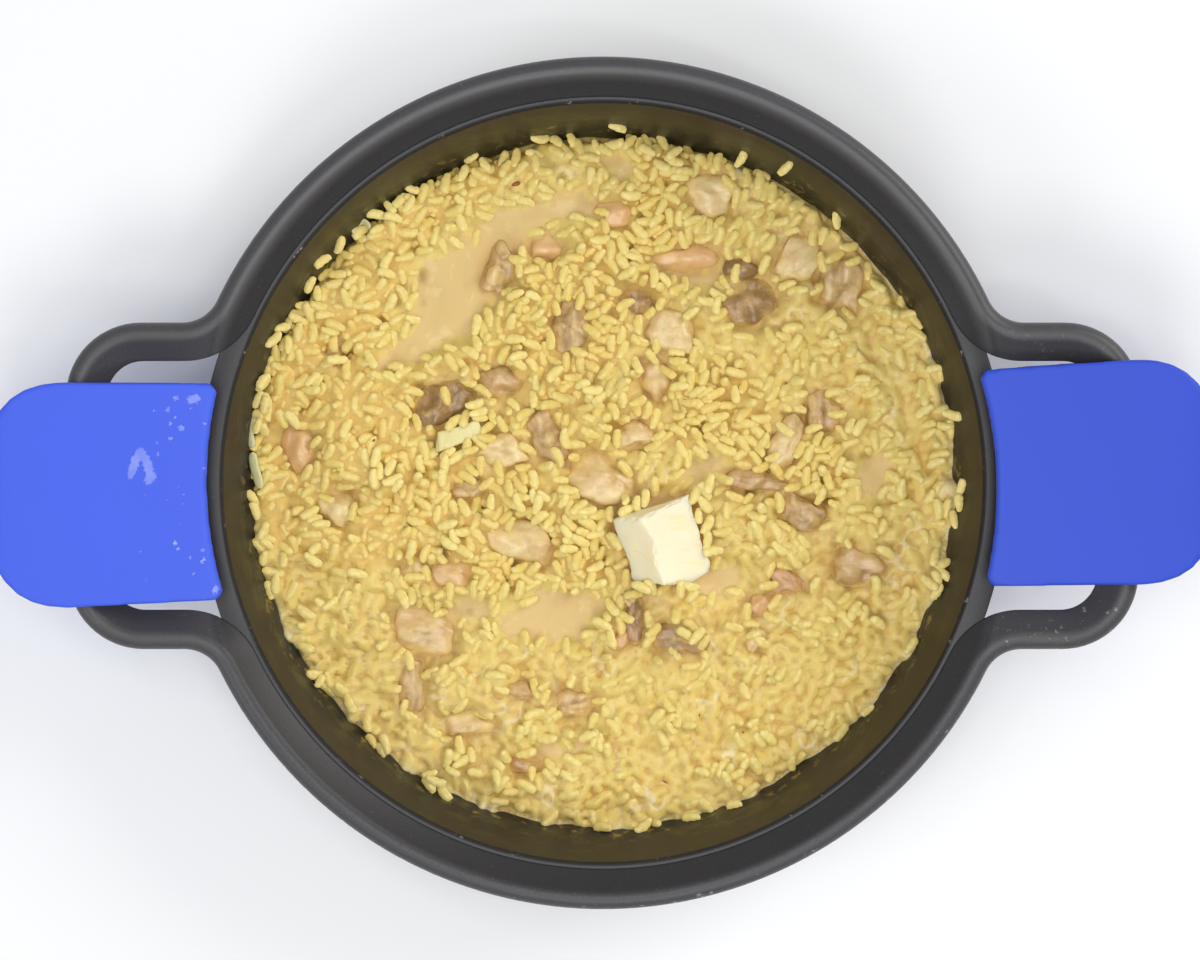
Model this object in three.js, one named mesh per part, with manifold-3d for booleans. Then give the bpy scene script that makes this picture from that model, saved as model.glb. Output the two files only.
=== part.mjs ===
// Chicken risotto in its two-handled cast pan, with a lump of butter on top.
// Millimetres, +Z up, +X along the two loop handles. The origin is the middle of the flat base.
import * as THREE from "three";
import { ConvexGeometry } from "three/addons/geometries/ConvexGeometry.js";
import { mergeVertices } from "three/addons/utils/BufferGeometryUtils.js";
import Module from "manifold-3d";

const wasm = await Module();
wasm.setup();

// ---------------------------------------------------------------- driving dimensions
const ROUND = 48; // facets round the pan and its contents

const PAN = {
  mouthRadius: 160, // inside edge of the ledge that a lid rests on
  ledgeHeight: 70,
  wallThickness: 4.5,
  wallLean: THREE.MathUtils.degToRad(12.5), // the wall flares out by this much
  floorThickness: 6,
  innerBend: 16, // radius between floor and wall, inside
  outerBend: 14,
  flangeRadius: 170, // outer edge of the ledge, where the lip leaves it at the handles
  flangeThickness: 4,
};

// The thick lip runs round the pan and on into the handle loops with the same section.
const LIP = {
  width: 16,
  height: 10, // above the ledge
  depth: 4, // below the ledge
  ridgeRadius: 4.8, // roundness of the ridge, near its outer side
  innerSlope: THREE.MathUtils.degToRad(48), // steepness of the side that faces the food
  outerRadius: 178, // outside of the lip round the pan
};

const LOOP = {
  halfWidth: 60.2, // from the handle's middle line to the middle of its side bars
  reach: 215.6, // from the pan's axis to the middle of the outer bar
  corner: 23.5, // bend of the two outer corners, at the middle of the bar
  root: 24.5, // bend where the lip leaves the pan's circle
};

// A folded silicone sleeve over each loop's outer bar, open towards the pan and at both sides.
const GRIP = {
  innerRadius: 162.8, // hollow inner edge, about the pan's axis
  innerHalfWidth: 45,
  outerHalfWidth: 46.8,
  outerEnd: 256,
  crown: 1.5, // the outer end bulges by this much
  outerCorner: 34,
  innerCorner: 3.5,
  flap: 3.5, // thickness of the upper and lower flaps
  play: 0.5, // clearance above and below the bar
  lowerInnerRadius: 174, // the lower flap stops short of the ledge
  pocketEnd: 227, // the fold begins here
  noseThickness: 10, // at the outer end
};

// Each grip sits a little askew: slid outwards and along its bar, and turned anticlockwise.
const GRIP_PLACES = [
  { name: "grip_left", side: Math.PI, out: 1.2, along: -3.2, turn: 1.3 },
  { name: "grip_right", side: 0, out: 0, along: 5.9, turn: 2.2 },
];

// The risotto's surface: heaps of looser grains, pools of sauce, and the brim up the wall.
const RISOTTO = {
  level: 32,
  gap: 0.3, // to the metal
  cells: 21, // squares across the surface
  brimRise: 4.5, // grains cling this high up the wall at the two handle sides
  brimWidth: 11,
  rippleHeight: 1.1,
  rippleLength: 8.5,
};
const HEAPS = [
  { x: -30, y: 22, height: 5.5, reach: 34 },
  { x: -105, y: 30, height: 3, reach: 38 },
  { x: -84, y: 110, height: 2.5, reach: 22 },
  { x: 8, y: 104, height: 2.5, reach: 30 },
  { x: 78, y: 8, height: 3, reach: 38 },
  { x: -48, y: -28, height: 3.5, reach: 22 },
  { x: -60, y: 86, height: -2.6, reach: 24 },
  { x: -26, y: -62, height: -2.2, reach: 22 },
];

// Pieces of chicken: where each lies, its length and width, its turn in degrees, how far its
// top stands above the rice, and how angular it is (0 a pebble, 1 a block with corners).
const CHICKEN_THICKNESS = 0.7; // of a piece's width
const CHICKEN_FULLNESS = 1.1; // makes up for what the coarse facets cut off
const CHICKEN = [
  { x: 47, y: 124, length: 21, width: 20, turn: 0, rise: 3, corners: 0.2, meat: "pale" },
  { x: 5, y: 116, length: 14, width: 12, turn: 0, rise: 1.5, corners: 0.4, meat: "rosy" },
  { x: 84, y: 97, length: 23, width: 19, turn: 60, rise: 4, corners: 0.5, meat: "pale" },
  { x: 103, y: 86, length: 25, width: 20, turn: 70, rise: 4, corners: 0.8, meat: "tan" },
  { x: 60, y: 92, length: 17, width: 10, turn: 0, rise: 4, corners: 0.1, meat: "brown" },
  { x: 63, y: 78, length: 26, width: 19, turn: 20, rise: 3.5, corners: 0.7, meat: "brown" },
  { x: 34, y: 97, length: 34, width: 13, turn: 10, rise: 1.2, corners: 0.3, meat: "rosy" },
  { x: 13, y: 79, length: 16, width: 13, turn: 0, rise: 2.5, corners: 0.5, meat: "brown" },
  { x: 29, y: 65, length: 22, width: 20, turn: 0, rise: 5, corners: 0.7, meat: "pale" },
  { x: -14, y: 68, length: 24, width: 16, turn: 70, rise: 4, corners: 0.4, meat: "brown" },
  { x: -24, y: 102, length: 15, width: 13, turn: 0, rise: 2.5, corners: 0.5, meat: "rosy" },
  { x: -45, y: 93, length: 25, width: 14, turn: 60, rise: 3, corners: 0.2, meat: "brown" },
  { x: -45, y: 43, length: 20, width: 14, turn: 0, rise: 3.5, corners: 0.5, meat: "tan" },
  { x: -70, y: 34, length: 29, width: 18, turn: 20, rise: 4, corners: 0.6, meat: "tan" },
  { x: -43, y: 14, length: 23, width: 16, turn: 10, rise: 4, corners: 0.2, meat: "pale" },
  { x: -58, y: -4, length: 17, width: 10, turn: 0, rise: 2, corners: 0.5, meat: "tan" },
  { x: -24, y: 20, length: 28, width: 14, turn: 115, rise: 3.5, corners: 0.4, meat: "brown" },
  { x: -1, y: 2, length: 29, width: 22, turn: -35, rise: 5, corners: 0.6, meat: "tan" },
  { x: 13, y: 20, length: 20, width: 15, turn: 0, rise: 4, corners: 0.3, meat: "pale" },
  { x: 22, y: 44, length: 19, width: 13, turn: 90, rise: 2, corners: 0.6, meat: "tan" },
  { x: 79, y: 17, length: 24, width: 14, turn: 75, rise: 4.5, corners: 0.3, meat: "tan" },
  { x: 66, y: 1, length: 28, width: 9, turn: -5, rise: 3, corners: 0.3, meat: "brown" },
  { x: 87, y: -11, length: 24, width: 17, turn: -50, rise: 4.5, corners: 0.6, meat: "tan" },
  { x: 96, y: 30, length: 20, width: 16, turn: 90, rise: 2.5, corners: 0.3, meat: "tan" },
  { x: 111, y: -37, length: 26, width: 18, turn: 0, rise: 4, corners: 0.2, meat: "pale" },
  { x: 80, y: -43, length: 15, width: 12, turn: 0, rise: 2.5, corners: 0.3, meat: "rosy" },
  { x: 34, y: -69, length: 24, width: 13, turn: -15, rise: 3.5, corners: 0.4, meat: "brown" },
  { x: 14, y: -60, length: 24, width: 10, turn: 85, rise: 3, corners: 0.3, meat: "brown" },
  { x: -36, y: -26, length: 32, width: 18, turn: -20, rise: 3.5, corners: 0.6, meat: "tan" },
  { x: -66, y: -40, length: 18, width: 12, turn: 0, rise: 3.5, corners: 0.4, meat: "rosy" },
  { x: -83, y: -38, length: 17, width: 10, turn: 120, rise: 2, corners: 0.4, meat: "tan" },
  { x: -79, y: -64, length: 28, width: 25, turn: 0, rise: 1.4, corners: 0.1, meat: "pale" },
  { x: -83, y: -91, length: 22, width: 13, turn: 80, rise: 3, corners: 0.3, meat: "tan" },
  { x: -116, y: -11, length: 20, width: 16, turn: -30, rise: 2.5, corners: 0.5, meat: "pale" },
  { x: -132, y: 13, length: 23, width: 17, turn: 75, rise: 3, corners: 0.4, meat: "rosy" },
  { x: -34, y: -124, length: 16, width: 9, turn: 0, rise: 1.2, corners: 0.3, meat: "rosy" },
  { x: -11, y: -97, length: 18, width: 12, turn: 0, rise: 1.5, corners: 0.4, meat: "tan" },
  { x: -58, y: -106, length: 25, width: 13, turn: 10, rise: 1.8, corners: 0.5, meat: "tan" },
];
const ONION = { x: -62, y: 20.5, length: 19, width: 8.5, thickness: 3, turn: 18, lift: 4.2 };

// Corners of the broken lump of butter, with heights above the risotto's level.
const BUTTER_CORNERS = [
  [18, -15, 19],
  [26.5, -44, 17],
  [35.5, -5, 15],
  [47, -37.5, 13],
  [37.5, -43, 14],
  [3.5, -16, 7],
  [13.5, -43, 6],
  [6, -18, 1],
  [15, -41, 1],
  [34, -8, 1],
  [45, -36, 1],
];
const POCKET_GAP = 0.35; // what is bedded in the risotto keeps this clear of it

// ---------------------------------------------------------------- materials
const finish = (color, roughness, metalness = 0) =>
  new THREE.MeshStandardMaterial({ color, roughness, metalness });
const COATING = finish(0x3a393c, 0.5, 0.2);
const SILICONE = finish(0x2a48d8, 0.6);
const RICE = finish(0xe0c356, 0.45);
const BUTTER = finish(0xf7edc4, 0.4);
const ONION_FLESH = finish(0xece3a0, 0.35);
const MEAT = {
  pale: finish(0xdcbb92, 0.45),
  tan: finish(0xc89f78, 0.45),
  rosy: finish(0xc98a66, 0.45),
  brown: finish(0x9c7152, 0.5),
};

// ---------------------------------------------------------------- meshes and solids
// A closed geometry as a solid that can be joined and cut.
function solidOf(geometry) {
  const bare = geometry.clone();
  bare.deleteAttribute("normal");
  bare.deleteAttribute("uv");
  const welded = mergeVertices(bare, 1e-4);
  return new wasm.Manifold(
    new wasm.Mesh({
      numProp: 3,
      vertProperties: welded.attributes.position.array,
      triVerts: new Uint32Array(welded.index.array),
    }),
  );
}

function geometryOf(solid) {
  const { vertProperties, triVerts } = solid.getMesh();
  const geometry = new THREE.BufferGeometry();
  geometry.setAttribute("position", new THREE.BufferAttribute(vertProperties, 3));
  geometry.setIndex(new THREE.BufferAttribute(triVerts, 1));
  geometry.computeVertexNormals();
  return geometry;
}

function named(name, geometry, material) {
  const mesh = new THREE.Mesh(geometry, material);
  mesh.name = name;
  return mesh;
}

// A profile of (radius, height) points turned about the Z axis.
function turned(points) {
  return solidOf(new THREE.LatheGeometry(points, ROUND).rotateX(Math.PI / 2));
}

// An outline in X and Y raised from one height to another.
function raised(outline, bottom, top, curveSegments) {
  const options = { depth: top - bottom, bevelEnabled: false, curveSegments };
  return solidOf(new THREE.ExtrudeGeometry(outline, options).translate(0, 0, bottom));
}

// ---------------------------------------------------------------- the cast pan
const innerRadiusAt = (height) =>
  PAN.mouthRadius - (PAN.ledgeHeight - height) * Math.tan(PAN.wallLean);

// Half the pan's inside, from the floor's middle up the wall to a height, a gap away from the metal.
function insidePath(top, gap) {
  const floor = PAN.floorThickness + gap;
  const lean = PAN.wallLean;
  const side = (height) => innerRadiusAt(height) - gap / Math.cos(lean);
  const bendHeight = floor + PAN.innerBend;
  const bendRadius = side(bendHeight) - PAN.innerBend / Math.cos(lean);
  const path = new THREE.Path();
  path.moveTo(0, floor);
  path.lineTo(bendRadius, floor);
  path.absarc(bendRadius, bendHeight, PAN.innerBend, -Math.PI / 2, -lean, false);
  path.lineTo(side(top), top);
  return path.getPoints(2);
}

function outsidePath() {
  const lean = PAN.wallLean;
  const side = (height) => innerRadiusAt(height) + PAN.wallThickness / Math.cos(lean);
  const bendRadius = side(PAN.outerBend) - PAN.outerBend / Math.cos(lean);
  const underside = PAN.ledgeHeight - PAN.flangeThickness;
  const path = new THREE.Path();
  path.moveTo(0, 0);
  path.lineTo(bendRadius, 0);
  path.absarc(bendRadius, PAN.outerBend, PAN.outerBend, -Math.PI / 2, -lean, false);
  path.lineTo(side(underside - 4), underside - 4);
  path.lineTo(PAN.flangeRadius, underside + 0.5);
  path.lineTo(PAN.flangeRadius, PAN.ledgeHeight);
  return path.getPoints(2);
}

// The lip's section: x runs outwards from its middle line, y upwards from the ledge.
function lipSection() {
  const half = LIP.width / 2;
  const ridgeX = half - LIP.ridgeRadius;
  const ridgeY = LIP.height - LIP.ridgeRadius;
  const section = new THREE.Shape();
  section.moveTo(-half, 0);
  section.absarc(ridgeX, ridgeY, LIP.ridgeRadius, Math.PI / 2 + LIP.innerSlope, 0, true);
  section.quadraticCurveTo(half, -LIP.depth, half / 4, -LIP.depth);
  section.quadraticCurveTo(-half, -LIP.depth, -half, 0);
  return section.getPoints(2).slice(0, -1);
}

// A quarter of the lip's middle line, from the back of the pan to the middle of the right loop.
// Each station has its place and the direction that faces away from the pan.
function quarterLine() {
  const radius = LIP.outerRadius - LIP.width / 2;
  const rootY = LOOP.halfWidth + LOOP.root;
  const rootX = Math.sqrt((radius + LOOP.root) ** 2 - rootY ** 2);
  const leave = Math.atan2(rootY, rootX);
  const line = [];
  const bend = (x, y, r, from, to, facing, steps) => {
    for (let i = 0; i <= steps; i += 1) {
      const angle = from + ((to - from) * i) / steps;
      const out = new THREE.Vector2(Math.cos(angle), Math.sin(angle));
      line.push({ x: x + r * out.x, y: y + r * out.y, out: out.multiplyScalar(facing) });
    }
  };
  bend(0, 0, radius, Math.PI / 2, leave, 1, 9);
  line.pop();
  bend(rootX, rootY, LOOP.root, leave + Math.PI, 1.5 * Math.PI, -1, 4);
  bend(LOOP.reach - LOOP.corner, LOOP.halfWidth - LOOP.corner, LOOP.corner, Math.PI / 2, 0, 1, 5);
  line.push({ x: LOOP.reach, y: 0, out: new THREE.Vector2(1, 0) });
  return line;
}

// The whole closed line: the quarter, mirrored front to back and then left to right.
function lipLine() {
  const mirrored = (stations, sx, sy) =>
    stations
      .map(({ x, y, out }) => ({ x: sx * x, y: sy * y, out: new THREE.Vector2(sx * out.x, sy * out.y) }))
      .reverse();
  const quarter = quarterLine();
  const right = [...quarter, ...mirrored(quarter, 1, -1).slice(1)];
  return [...right, ...mirrored(right, -1, 1).slice(1, -1)];
}

// The section swept round the closed line.
function lipSolid() {
  const section = lipSection();
  const stations = lipLine();
  const positions = [];
  for (const { x, y, out } of stations)
    for (const point of section)
      positions.push(x + point.x * out.x, y + point.x * out.y, PAN.ledgeHeight + point.y);
  const around = section.length;
  const corner = (i, j) => (i % stations.length) * around + (j % around);
  const index = [];
  for (let i = 0; i < stations.length; i += 1)
    for (let j = 0; j < around; j += 1) {
      index.push(corner(i, j), corner(i + 1, j), corner(i, j + 1));
      index.push(corner(i, j + 1), corner(i + 1, j), corner(i + 1, j + 1));
    }
  const geometry = new THREE.BufferGeometry();
  geometry.setAttribute("position", new THREE.Float32BufferAttribute(positions, 3));
  geometry.setIndex(index);
  return solidOf(geometry);
}

function makePan() {
  const inside = insidePath(PAN.ledgeHeight, 0).reverse();
  const bowl = turned([...outsidePath(), ...inside]);
  return named("pan", geometryOf(bowl.add(lipSolid())), COATING);
}

// ---------------------------------------------------------------- the silicone grips
// The sleeve seen from above, pointing along +X from the pan's axis.
function gripOutline() {
  const { innerRadius, innerHalfWidth, outerHalfWidth, outerEnd, outerCorner, innerCorner } = GRIP;
  const innerX = Math.sqrt(innerRadius ** 2 - innerHalfWidth ** 2);
  const shoulder = outerEnd - outerCorner;
  const outline = new THREE.Shape();
  outline.moveTo(innerX + innerCorner, -innerHalfWidth);
  outline.lineTo(shoulder, -outerHalfWidth);
  outline.quadraticCurveTo(outerEnd - 4, -outerHalfWidth, outerEnd, outerCorner - outerHalfWidth);
  outline.quadraticCurveTo(outerEnd + GRIP.crown, 0, outerEnd, outerHalfWidth - outerCorner);
  outline.quadraticCurveTo(outerEnd - 4, outerHalfWidth, shoulder, outerHalfWidth);
  outline.lineTo(innerX + innerCorner, innerHalfWidth);
  const from = Math.asin((innerHalfWidth - innerCorner) / innerRadius);
  outline.lineTo(innerRadius * Math.cos(from), innerHalfWidth - innerCorner);
  outline.absarc(0, 0, innerRadius, from, -from, true);
  return outline;
}

// The sleeve's side view: x outwards from the pan's axis, y as height; a fold round the bar.
function gripSideView() {
  const roof = PAN.ledgeHeight + LIP.height + GRIP.play;
  const floor = PAN.ledgeHeight - LIP.depth - GRIP.play;
  const top = roof + GRIP.flap;
  const bottom = floor - GRIP.flap;
  const inner = GRIP.innerRadius - 30;
  const side = new THREE.Shape();
  side.moveTo(inner, top - 1);
  side.lineTo(inner, roof);
  side.lineTo(GRIP.pocketEnd - 3, roof);
  side.quadraticCurveTo(GRIP.pocketEnd, (roof + floor) / 2, GRIP.pocketEnd - 3, floor);
  side.lineTo(GRIP.lowerInnerRadius, floor);
  side.lineTo(GRIP.lowerInnerRadius, bottom);
  side.lineTo(GRIP.pocketEnd, bottom);
  side.quadraticCurveTo(GRIP.outerEnd - 6, bottom + 2, GRIP.outerEnd + 4, top - GRIP.noseThickness);
  side.lineTo(GRIP.outerEnd + 4, top - 2.5);
  side.quadraticCurveTo(GRIP.outerEnd - 4, top, GRIP.outerEnd - 12, top);
  side.lineTo(GRIP.innerRadius + 2, top);
  return side;
}

function gripSolid() {
  const width = 4 * GRIP.outerHalfWidth;
  const options = { depth: width, bevelEnabled: false, curveSegments: 4 };
  const sideView = new THREE.ExtrudeGeometry(gripSideView(), options)
    .translate(0, 0, -width / 2)
    .rotateX(Math.PI / 2);
  const plan = raised(gripOutline(), 0, 2 * PAN.ledgeHeight, 7);
  return solidOf(sideView).intersect(plan);
}

function makeGrip({ name, side, out, along, turn }) {
  const geometry = geometryOf(gripSolid())
    .translate(out - LOOP.reach, 0, 0)
    .rotateZ(THREE.MathUtils.degToRad(turn))
    .translate(LOOP.reach, along * Math.cos(side), 0)
    .rotateZ(side);
  return named(name, geometry, SILICONE);
}

// ---------------------------------------------------------------- the risotto and what lies on it
// Height of the rice and sauce at a place.
function surfaceAt(x, y) {
  const heaps = HEAPS.reduce(
    (sum, heap) => sum + heap.height * Math.exp(-(((x - heap.x) ** 2 + (y - heap.y) ** 2) / heap.reach ** 2)),
    0,
  );
  const wave = RISOTTO.rippleLength;
  const ripple = RISOTTO.rippleHeight * Math.sin(x / wave + 0.6 * Math.sin(y / 13)) * Math.cos(y / wave);
  const radius = Math.hypot(x, y);
  const edge = Math.max(0, 1 - (innerRadiusAt(RISOTTO.level) - radius) / RISOTTO.brimWidth);
  const brim = (RISOTTO.brimRise * edge ** 2 * x ** 2) / (radius ** 2 + 1);
  return RISOTTO.level + heaps + ripple + brim;
}

// A lumpy rounded block where a piece of chicken lies, larger all round by what is asked.
function chunkAt(piece, number, larger) {
  const thickness = CHICKEN_THICKNESS * piece.width;
  const size = new THREE.Vector3(CHICKEN_FULLNESS * piece.length, CHICKEN_FULLNESS * piece.width, thickness);
  const half = size.addScalar(2 * larger).divideScalar(2);
  const facets = piece.length < 20 ? [6, 4] : [8, 4];
  const geometry = new THREE.SphereGeometry(1, ...facets);
  const places = geometry.attributes.position;
  const spot = new THREE.Vector3();
  for (let i = 0; i < places.count; i += 1) {
    spot.fromBufferAttribute(places, i);
    const corner = 1 + 0.35 * piece.corners * (1 - Math.max(...spot.toArray().map(Math.abs)));
    const lump = 1 + 0.09 * Math.sin(3 * spot.x + number) * Math.cos(2.6 * spot.y + 2 * number);
    spot.multiplyScalar(corner * lump).multiply(half);
    places.setXYZ(i, spot.x, spot.y, spot.z);
  }
  const height = surfaceAt(piece.x, piece.y) + piece.rise - thickness / 2;
  return geometry.rotateZ(THREE.MathUtils.degToRad(piece.turn)).translate(piece.x, piece.y, height);
}

function makeChicken(piece, number) {
  const name = `chicken_${String(number).padStart(2, "0")}`;
  const chunk = solidOf(chunkAt(piece, number, 0));
  const mesh = named(name, geometryOf(chunk), MEAT[piece.meat]);
  return { mesh, pocket: solidOf(chunkAt(piece, number, POCKET_GAP)) };
}

function makeOnion() {
  const height = surfaceAt(ONION.x, ONION.y) + ONION.lift;
  const place = (grow) =>
    new THREE.BoxGeometry(ONION.length + grow, ONION.width + grow, ONION.thickness + grow)
      .rotateY(THREE.MathUtils.degToRad(6))
      .rotateZ(THREE.MathUtils.degToRad(ONION.turn))
      .translate(ONION.x, ONION.y, height);
  return { mesh: named("onion_slice", place(0), ONION_FLESH), pocket: solidOf(place(2 * POCKET_GAP)) };
}

function makeButter() {
  const corners = BUTTER_CORNERS.map(([x, y, lift]) => new THREE.Vector3(x, y, RISOTTO.level + lift));
  const middle = corners
    .reduce((sum, corner) => sum.add(corner), new THREE.Vector3())
    .divideScalar(corners.length);
  const lump = (grow) =>
    new ConvexGeometry(
      corners.map((corner) => {
        const arm = corner.clone().sub(middle);
        return corner.clone().add(arm.setLength(grow));
      }),
    );
  return { mesh: named("butter", lump(0), BUTTER), pocket: solidOf(lump(2 * POCKET_GAP)) };
}

// The risotto fills the pan up to its uneven surface, with a pocket round each bedded piece.
function makeRisotto(pockets) {
  const span = 2 * (PAN.mouthRadius + 8);
  const block = new THREE.BoxGeometry(span, span, 2, RISOTTO.cells, RISOTTO.cells, 1);
  const places = block.attributes.position;
  for (let i = 0; i < places.count; i += 1)
    if (places.getZ(i) > 0) places.setZ(i, surfaceAt(places.getX(i), places.getY(i)));
  const inside = insidePath(PAN.ledgeHeight - 2, RISOTTO.gap);
  const fill = turned([...inside, new THREE.Vector2(0, PAN.ledgeHeight - 2)]);
  const rice = pockets.reduce((solid, pocket) => solid.subtract(pocket), fill.intersect(solidOf(block)));
  return named("risotto", geometryOf(rice), RICE);
}

// ---------------------------------------------------------------- the whole dish
const bedded = [...CHICKEN.map((piece, i) => makeChicken(piece, i + 1)), makeOnion(), makeButter()];
const dish = new THREE.Group();
dish.add(makePan());
dish.add(...GRIP_PLACES.map(makeGrip));
dish.add(makeRisotto(bedded.map(({ pocket }) => pocket)));
dish.add(...bedded.map(({ mesh }) => mesh));

export default dish;
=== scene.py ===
import math

import bmesh
import bpy
import numpy as np
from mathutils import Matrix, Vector
from mathutils.bvhtree import BVHTree


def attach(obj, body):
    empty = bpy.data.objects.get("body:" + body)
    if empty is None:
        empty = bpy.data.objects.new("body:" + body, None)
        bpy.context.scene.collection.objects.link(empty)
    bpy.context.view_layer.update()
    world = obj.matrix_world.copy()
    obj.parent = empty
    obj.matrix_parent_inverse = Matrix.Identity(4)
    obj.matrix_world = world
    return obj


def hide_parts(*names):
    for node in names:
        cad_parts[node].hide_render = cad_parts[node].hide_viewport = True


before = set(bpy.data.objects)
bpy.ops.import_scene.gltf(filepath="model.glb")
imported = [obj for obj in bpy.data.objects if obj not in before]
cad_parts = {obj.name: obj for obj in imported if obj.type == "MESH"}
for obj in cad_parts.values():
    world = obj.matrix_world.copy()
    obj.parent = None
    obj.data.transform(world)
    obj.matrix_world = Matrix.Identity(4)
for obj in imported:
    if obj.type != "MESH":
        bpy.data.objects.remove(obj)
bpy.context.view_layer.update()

# ---------------------------------------------------------------- table, daylight and camera
# The pan stands on a plain white table, in soft light from above and in front and from a
# window on its right. The camera hangs almost straight above it.
scene = bpy.context.scene
scene.view_settings.view_transform = "Standard"


class Wire:
    """A node's output socket; arithmetic on it adds Math nodes to the same tree."""

    def __init__(self, tree, socket=None):
        self.tree = tree
        self.socket = socket

    def add(self, kind, settings=None, inputs=None, out=0):
        node = self.tree.nodes.new("ShaderNode" + kind)
        for name, value in (settings or {}).items():
            if name == "stops":
                ramp = node.color_ramp.elements
                while len(ramp) < len(value):
                    ramp.new(0.5)
                for element, (position, colour) in zip(ramp, value):
                    element.position = position
                    element.color = (*colour, 1.0)
            else:
                setattr(node, name, value)
        for name, value in (inputs or {}).items():
            self.put(node.inputs[name], value)
        return Wire(self.tree, node.outputs[out])

    def put(self, socket, value):
        if isinstance(value, Wire):
            self.tree.links.new(value.socket, socket)
        elif isinstance(value, tuple) and len(value) == 3 and len(socket.default_value) == 4:
            socket.default_value = (*value, 1.0)
        else:
            socket.default_value = value

    def math(self, operation, *operands):
        return self.add("Math", {"operation": operation}, dict(enumerate(operands)))

    def __add__(self, other):
        return self.math("ADD", self, other)

    __radd__ = __add__

    def __sub__(self, other):
        return self.math("SUBTRACT", self, other)

    def __rsub__(self, other):
        return self.math("SUBTRACT", other, self)

    def __mul__(self, other):
        return self.math("MULTIPLY", self, other)

    __rmul__ = __mul__

    def __truediv__(self, other):
        return self.math("DIVIDE", self, other)

    def __abs__(self):
        return self.math("ABSOLUTE", self)

    def power(self, exponent):
        return self.math("POWER", self, exponent)

    def step(self, low, high):
        """0 below low, 1 above high, smooth between; high below low turns it round."""
        limits = {"Value": self, "From Min": low, "From Max": high}
        return self.add("MapRange", {"interpolation_type": "SMOOTHSTEP"}, limits)

    def blend(self, first, second):
        """The colour first where this value is 0 and second where it is 1."""
        return self.add("Mix", {"data_type": "RGBA"}, {0: self, 6: first, 7: second}, out=2)

    def scaled(self, x, y, z):
        return self.add("VectorMath", {"operation": "MULTIPLY"}, {0: self, 1: (x, y, z)})

    def noise(self, size, detail=2.0, roughness=0.5, seed=0.0):
        """Noise from 0 to 1 whose blotches are about size metres across, at this position."""
        settings = {"noise_dimensions": "4D"}
        inputs = {"Vector": self, "W": seed, "Scale": 1 / size, "Detail": detail, "Roughness": roughness}
        return self.add("TexNoise", settings, inputs)

    def warped(self, size, amount):
        """This position pushed about unevenly by up to half of amount."""
        noise = self.add("TexNoise", {}, {"Vector": self, "Scale": 1 / size}, out=1)
        shift = noise.add("VectorMath", {"operation": "SUBTRACT"}, {0: noise, 1: (0.5, 0.5, 0.5)})
        shift = shift.scaled(amount, amount, amount)
        return self.add("VectorMath", {"operation": "ADD"}, {0: self, 1: shift})

    def parts(self):
        node = self.add("SeparateXYZ", inputs={0: self}).socket.node
        return [Wire(self.tree, output) for output in node.outputs]

    def either(self, other):
        """The larger of this value and another."""
        return self.math("MAXIMUM", self, other)

    def kept(self, name, out=2):
        """What the mesh keeps for each vertex: a number, or at out 1 a vector."""
        return self.add("Attribute", {"attribute_name": name}, out=out)


def new_surface(name, gloss=0.5, soft=(0.0, 0.05, (1.0, 0.2, 0.1)), **constants):
    """A Principled material, its shader, and the surface's own coordinates. soft is how much
    light goes in, how deep in metres, and each colour's share of that depth."""
    share, depth, colours = soft
    constants.update(Specular_IOR_Level=gloss, Subsurface_Weight=share)
    constants.update(Subsurface_Scale=depth, Subsurface_Radius=colours)
    material = bpy.data.materials.new(name)
    material.use_nodes = True
    tree = material.node_tree
    tree.nodes.clear()
    shader = tree.nodes.new("ShaderNodeBsdfPrincipled")
    output = tree.nodes.new("ShaderNodeOutputMaterial")
    tree.links.new(shader.outputs[0], output.inputs[0])
    for socket, value in constants.items():
        shader.inputs[socket.replace("_", " ")].default_value = value
    place = Wire(tree).add("TexCoord", out="Object")
    return material, shader, place


def feed(shader, **wires):
    """Links wires to the shader's sockets; relief is a height in metres for its bump."""
    for socket, wire in wires.items():
        if socket == "relief":
            bump = wire.add("Bump", inputs={"Strength": 1.0, "Distance": 1.0, "Height": wire})
            wire.put(shader.inputs["Normal"], bump)
        else:
            wire.put(shader.inputs[socket.replace("_", " ")], wire)


def new_object(mesh, material):
    mesh.materials.append(material)
    piece = bpy.data.objects.new(mesh.name, mesh)
    scene.collection.objects.link(piece)
    return piece


def mesh_object(name, points, faces, material):
    mesh = bpy.data.meshes.new(name)
    mesh.from_pydata(points, [], faces)
    mesh.polygons.foreach_set("use_smooth", [True] * len(mesh.polygons))
    return new_object(mesh, material)


def own_axes(x, y, centre_x, centre_y, turn):
    """The place seen from a centre, along axes turned by degrees."""
    a = math.radians(turn)
    x, y = x - centre_x, y - centre_y
    return x * math.cos(a) + y * math.sin(a), y * math.cos(a) - x * math.sin(a)


def painted(colour, *coats):
    """A colour under coats, each with a mask, a strength and a colour of its own."""
    for mask, strength, coat in coats:
        colour = (mask * strength).blend(colour, coat)
    return colour


table, shader, place = new_surface("white_table", Roughness=0.6)
shading = place.noise(0.5, detail=3)
feed(shader, Base_Color=shading.blend((0.915, 0.917, 0.94), (0.935, 0.937, 0.955)))
TABLE_HALF = 15.0
floor = mesh_object(
    "table_top",
    [(x * TABLE_HALF, y * TABLE_HALF, 0) for x, y in ((-1, -1), (1, -1), (1, 1), (-1, 1))],
    [(0, 1, 2, 3)],
    table,
)

sky = bpy.data.worlds.new("sky")
scene.world = sky
sky.use_nodes = True
sky.node_tree.nodes["Background"].inputs["Color"].default_value = (0.93, 0.98, 1.0, 1.0)
sky.node_tree.nodes["Background"].inputs["Strength"].default_value = 0.34


LIGHTS_AIM = Vector((0, 0, 0.05))


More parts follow.
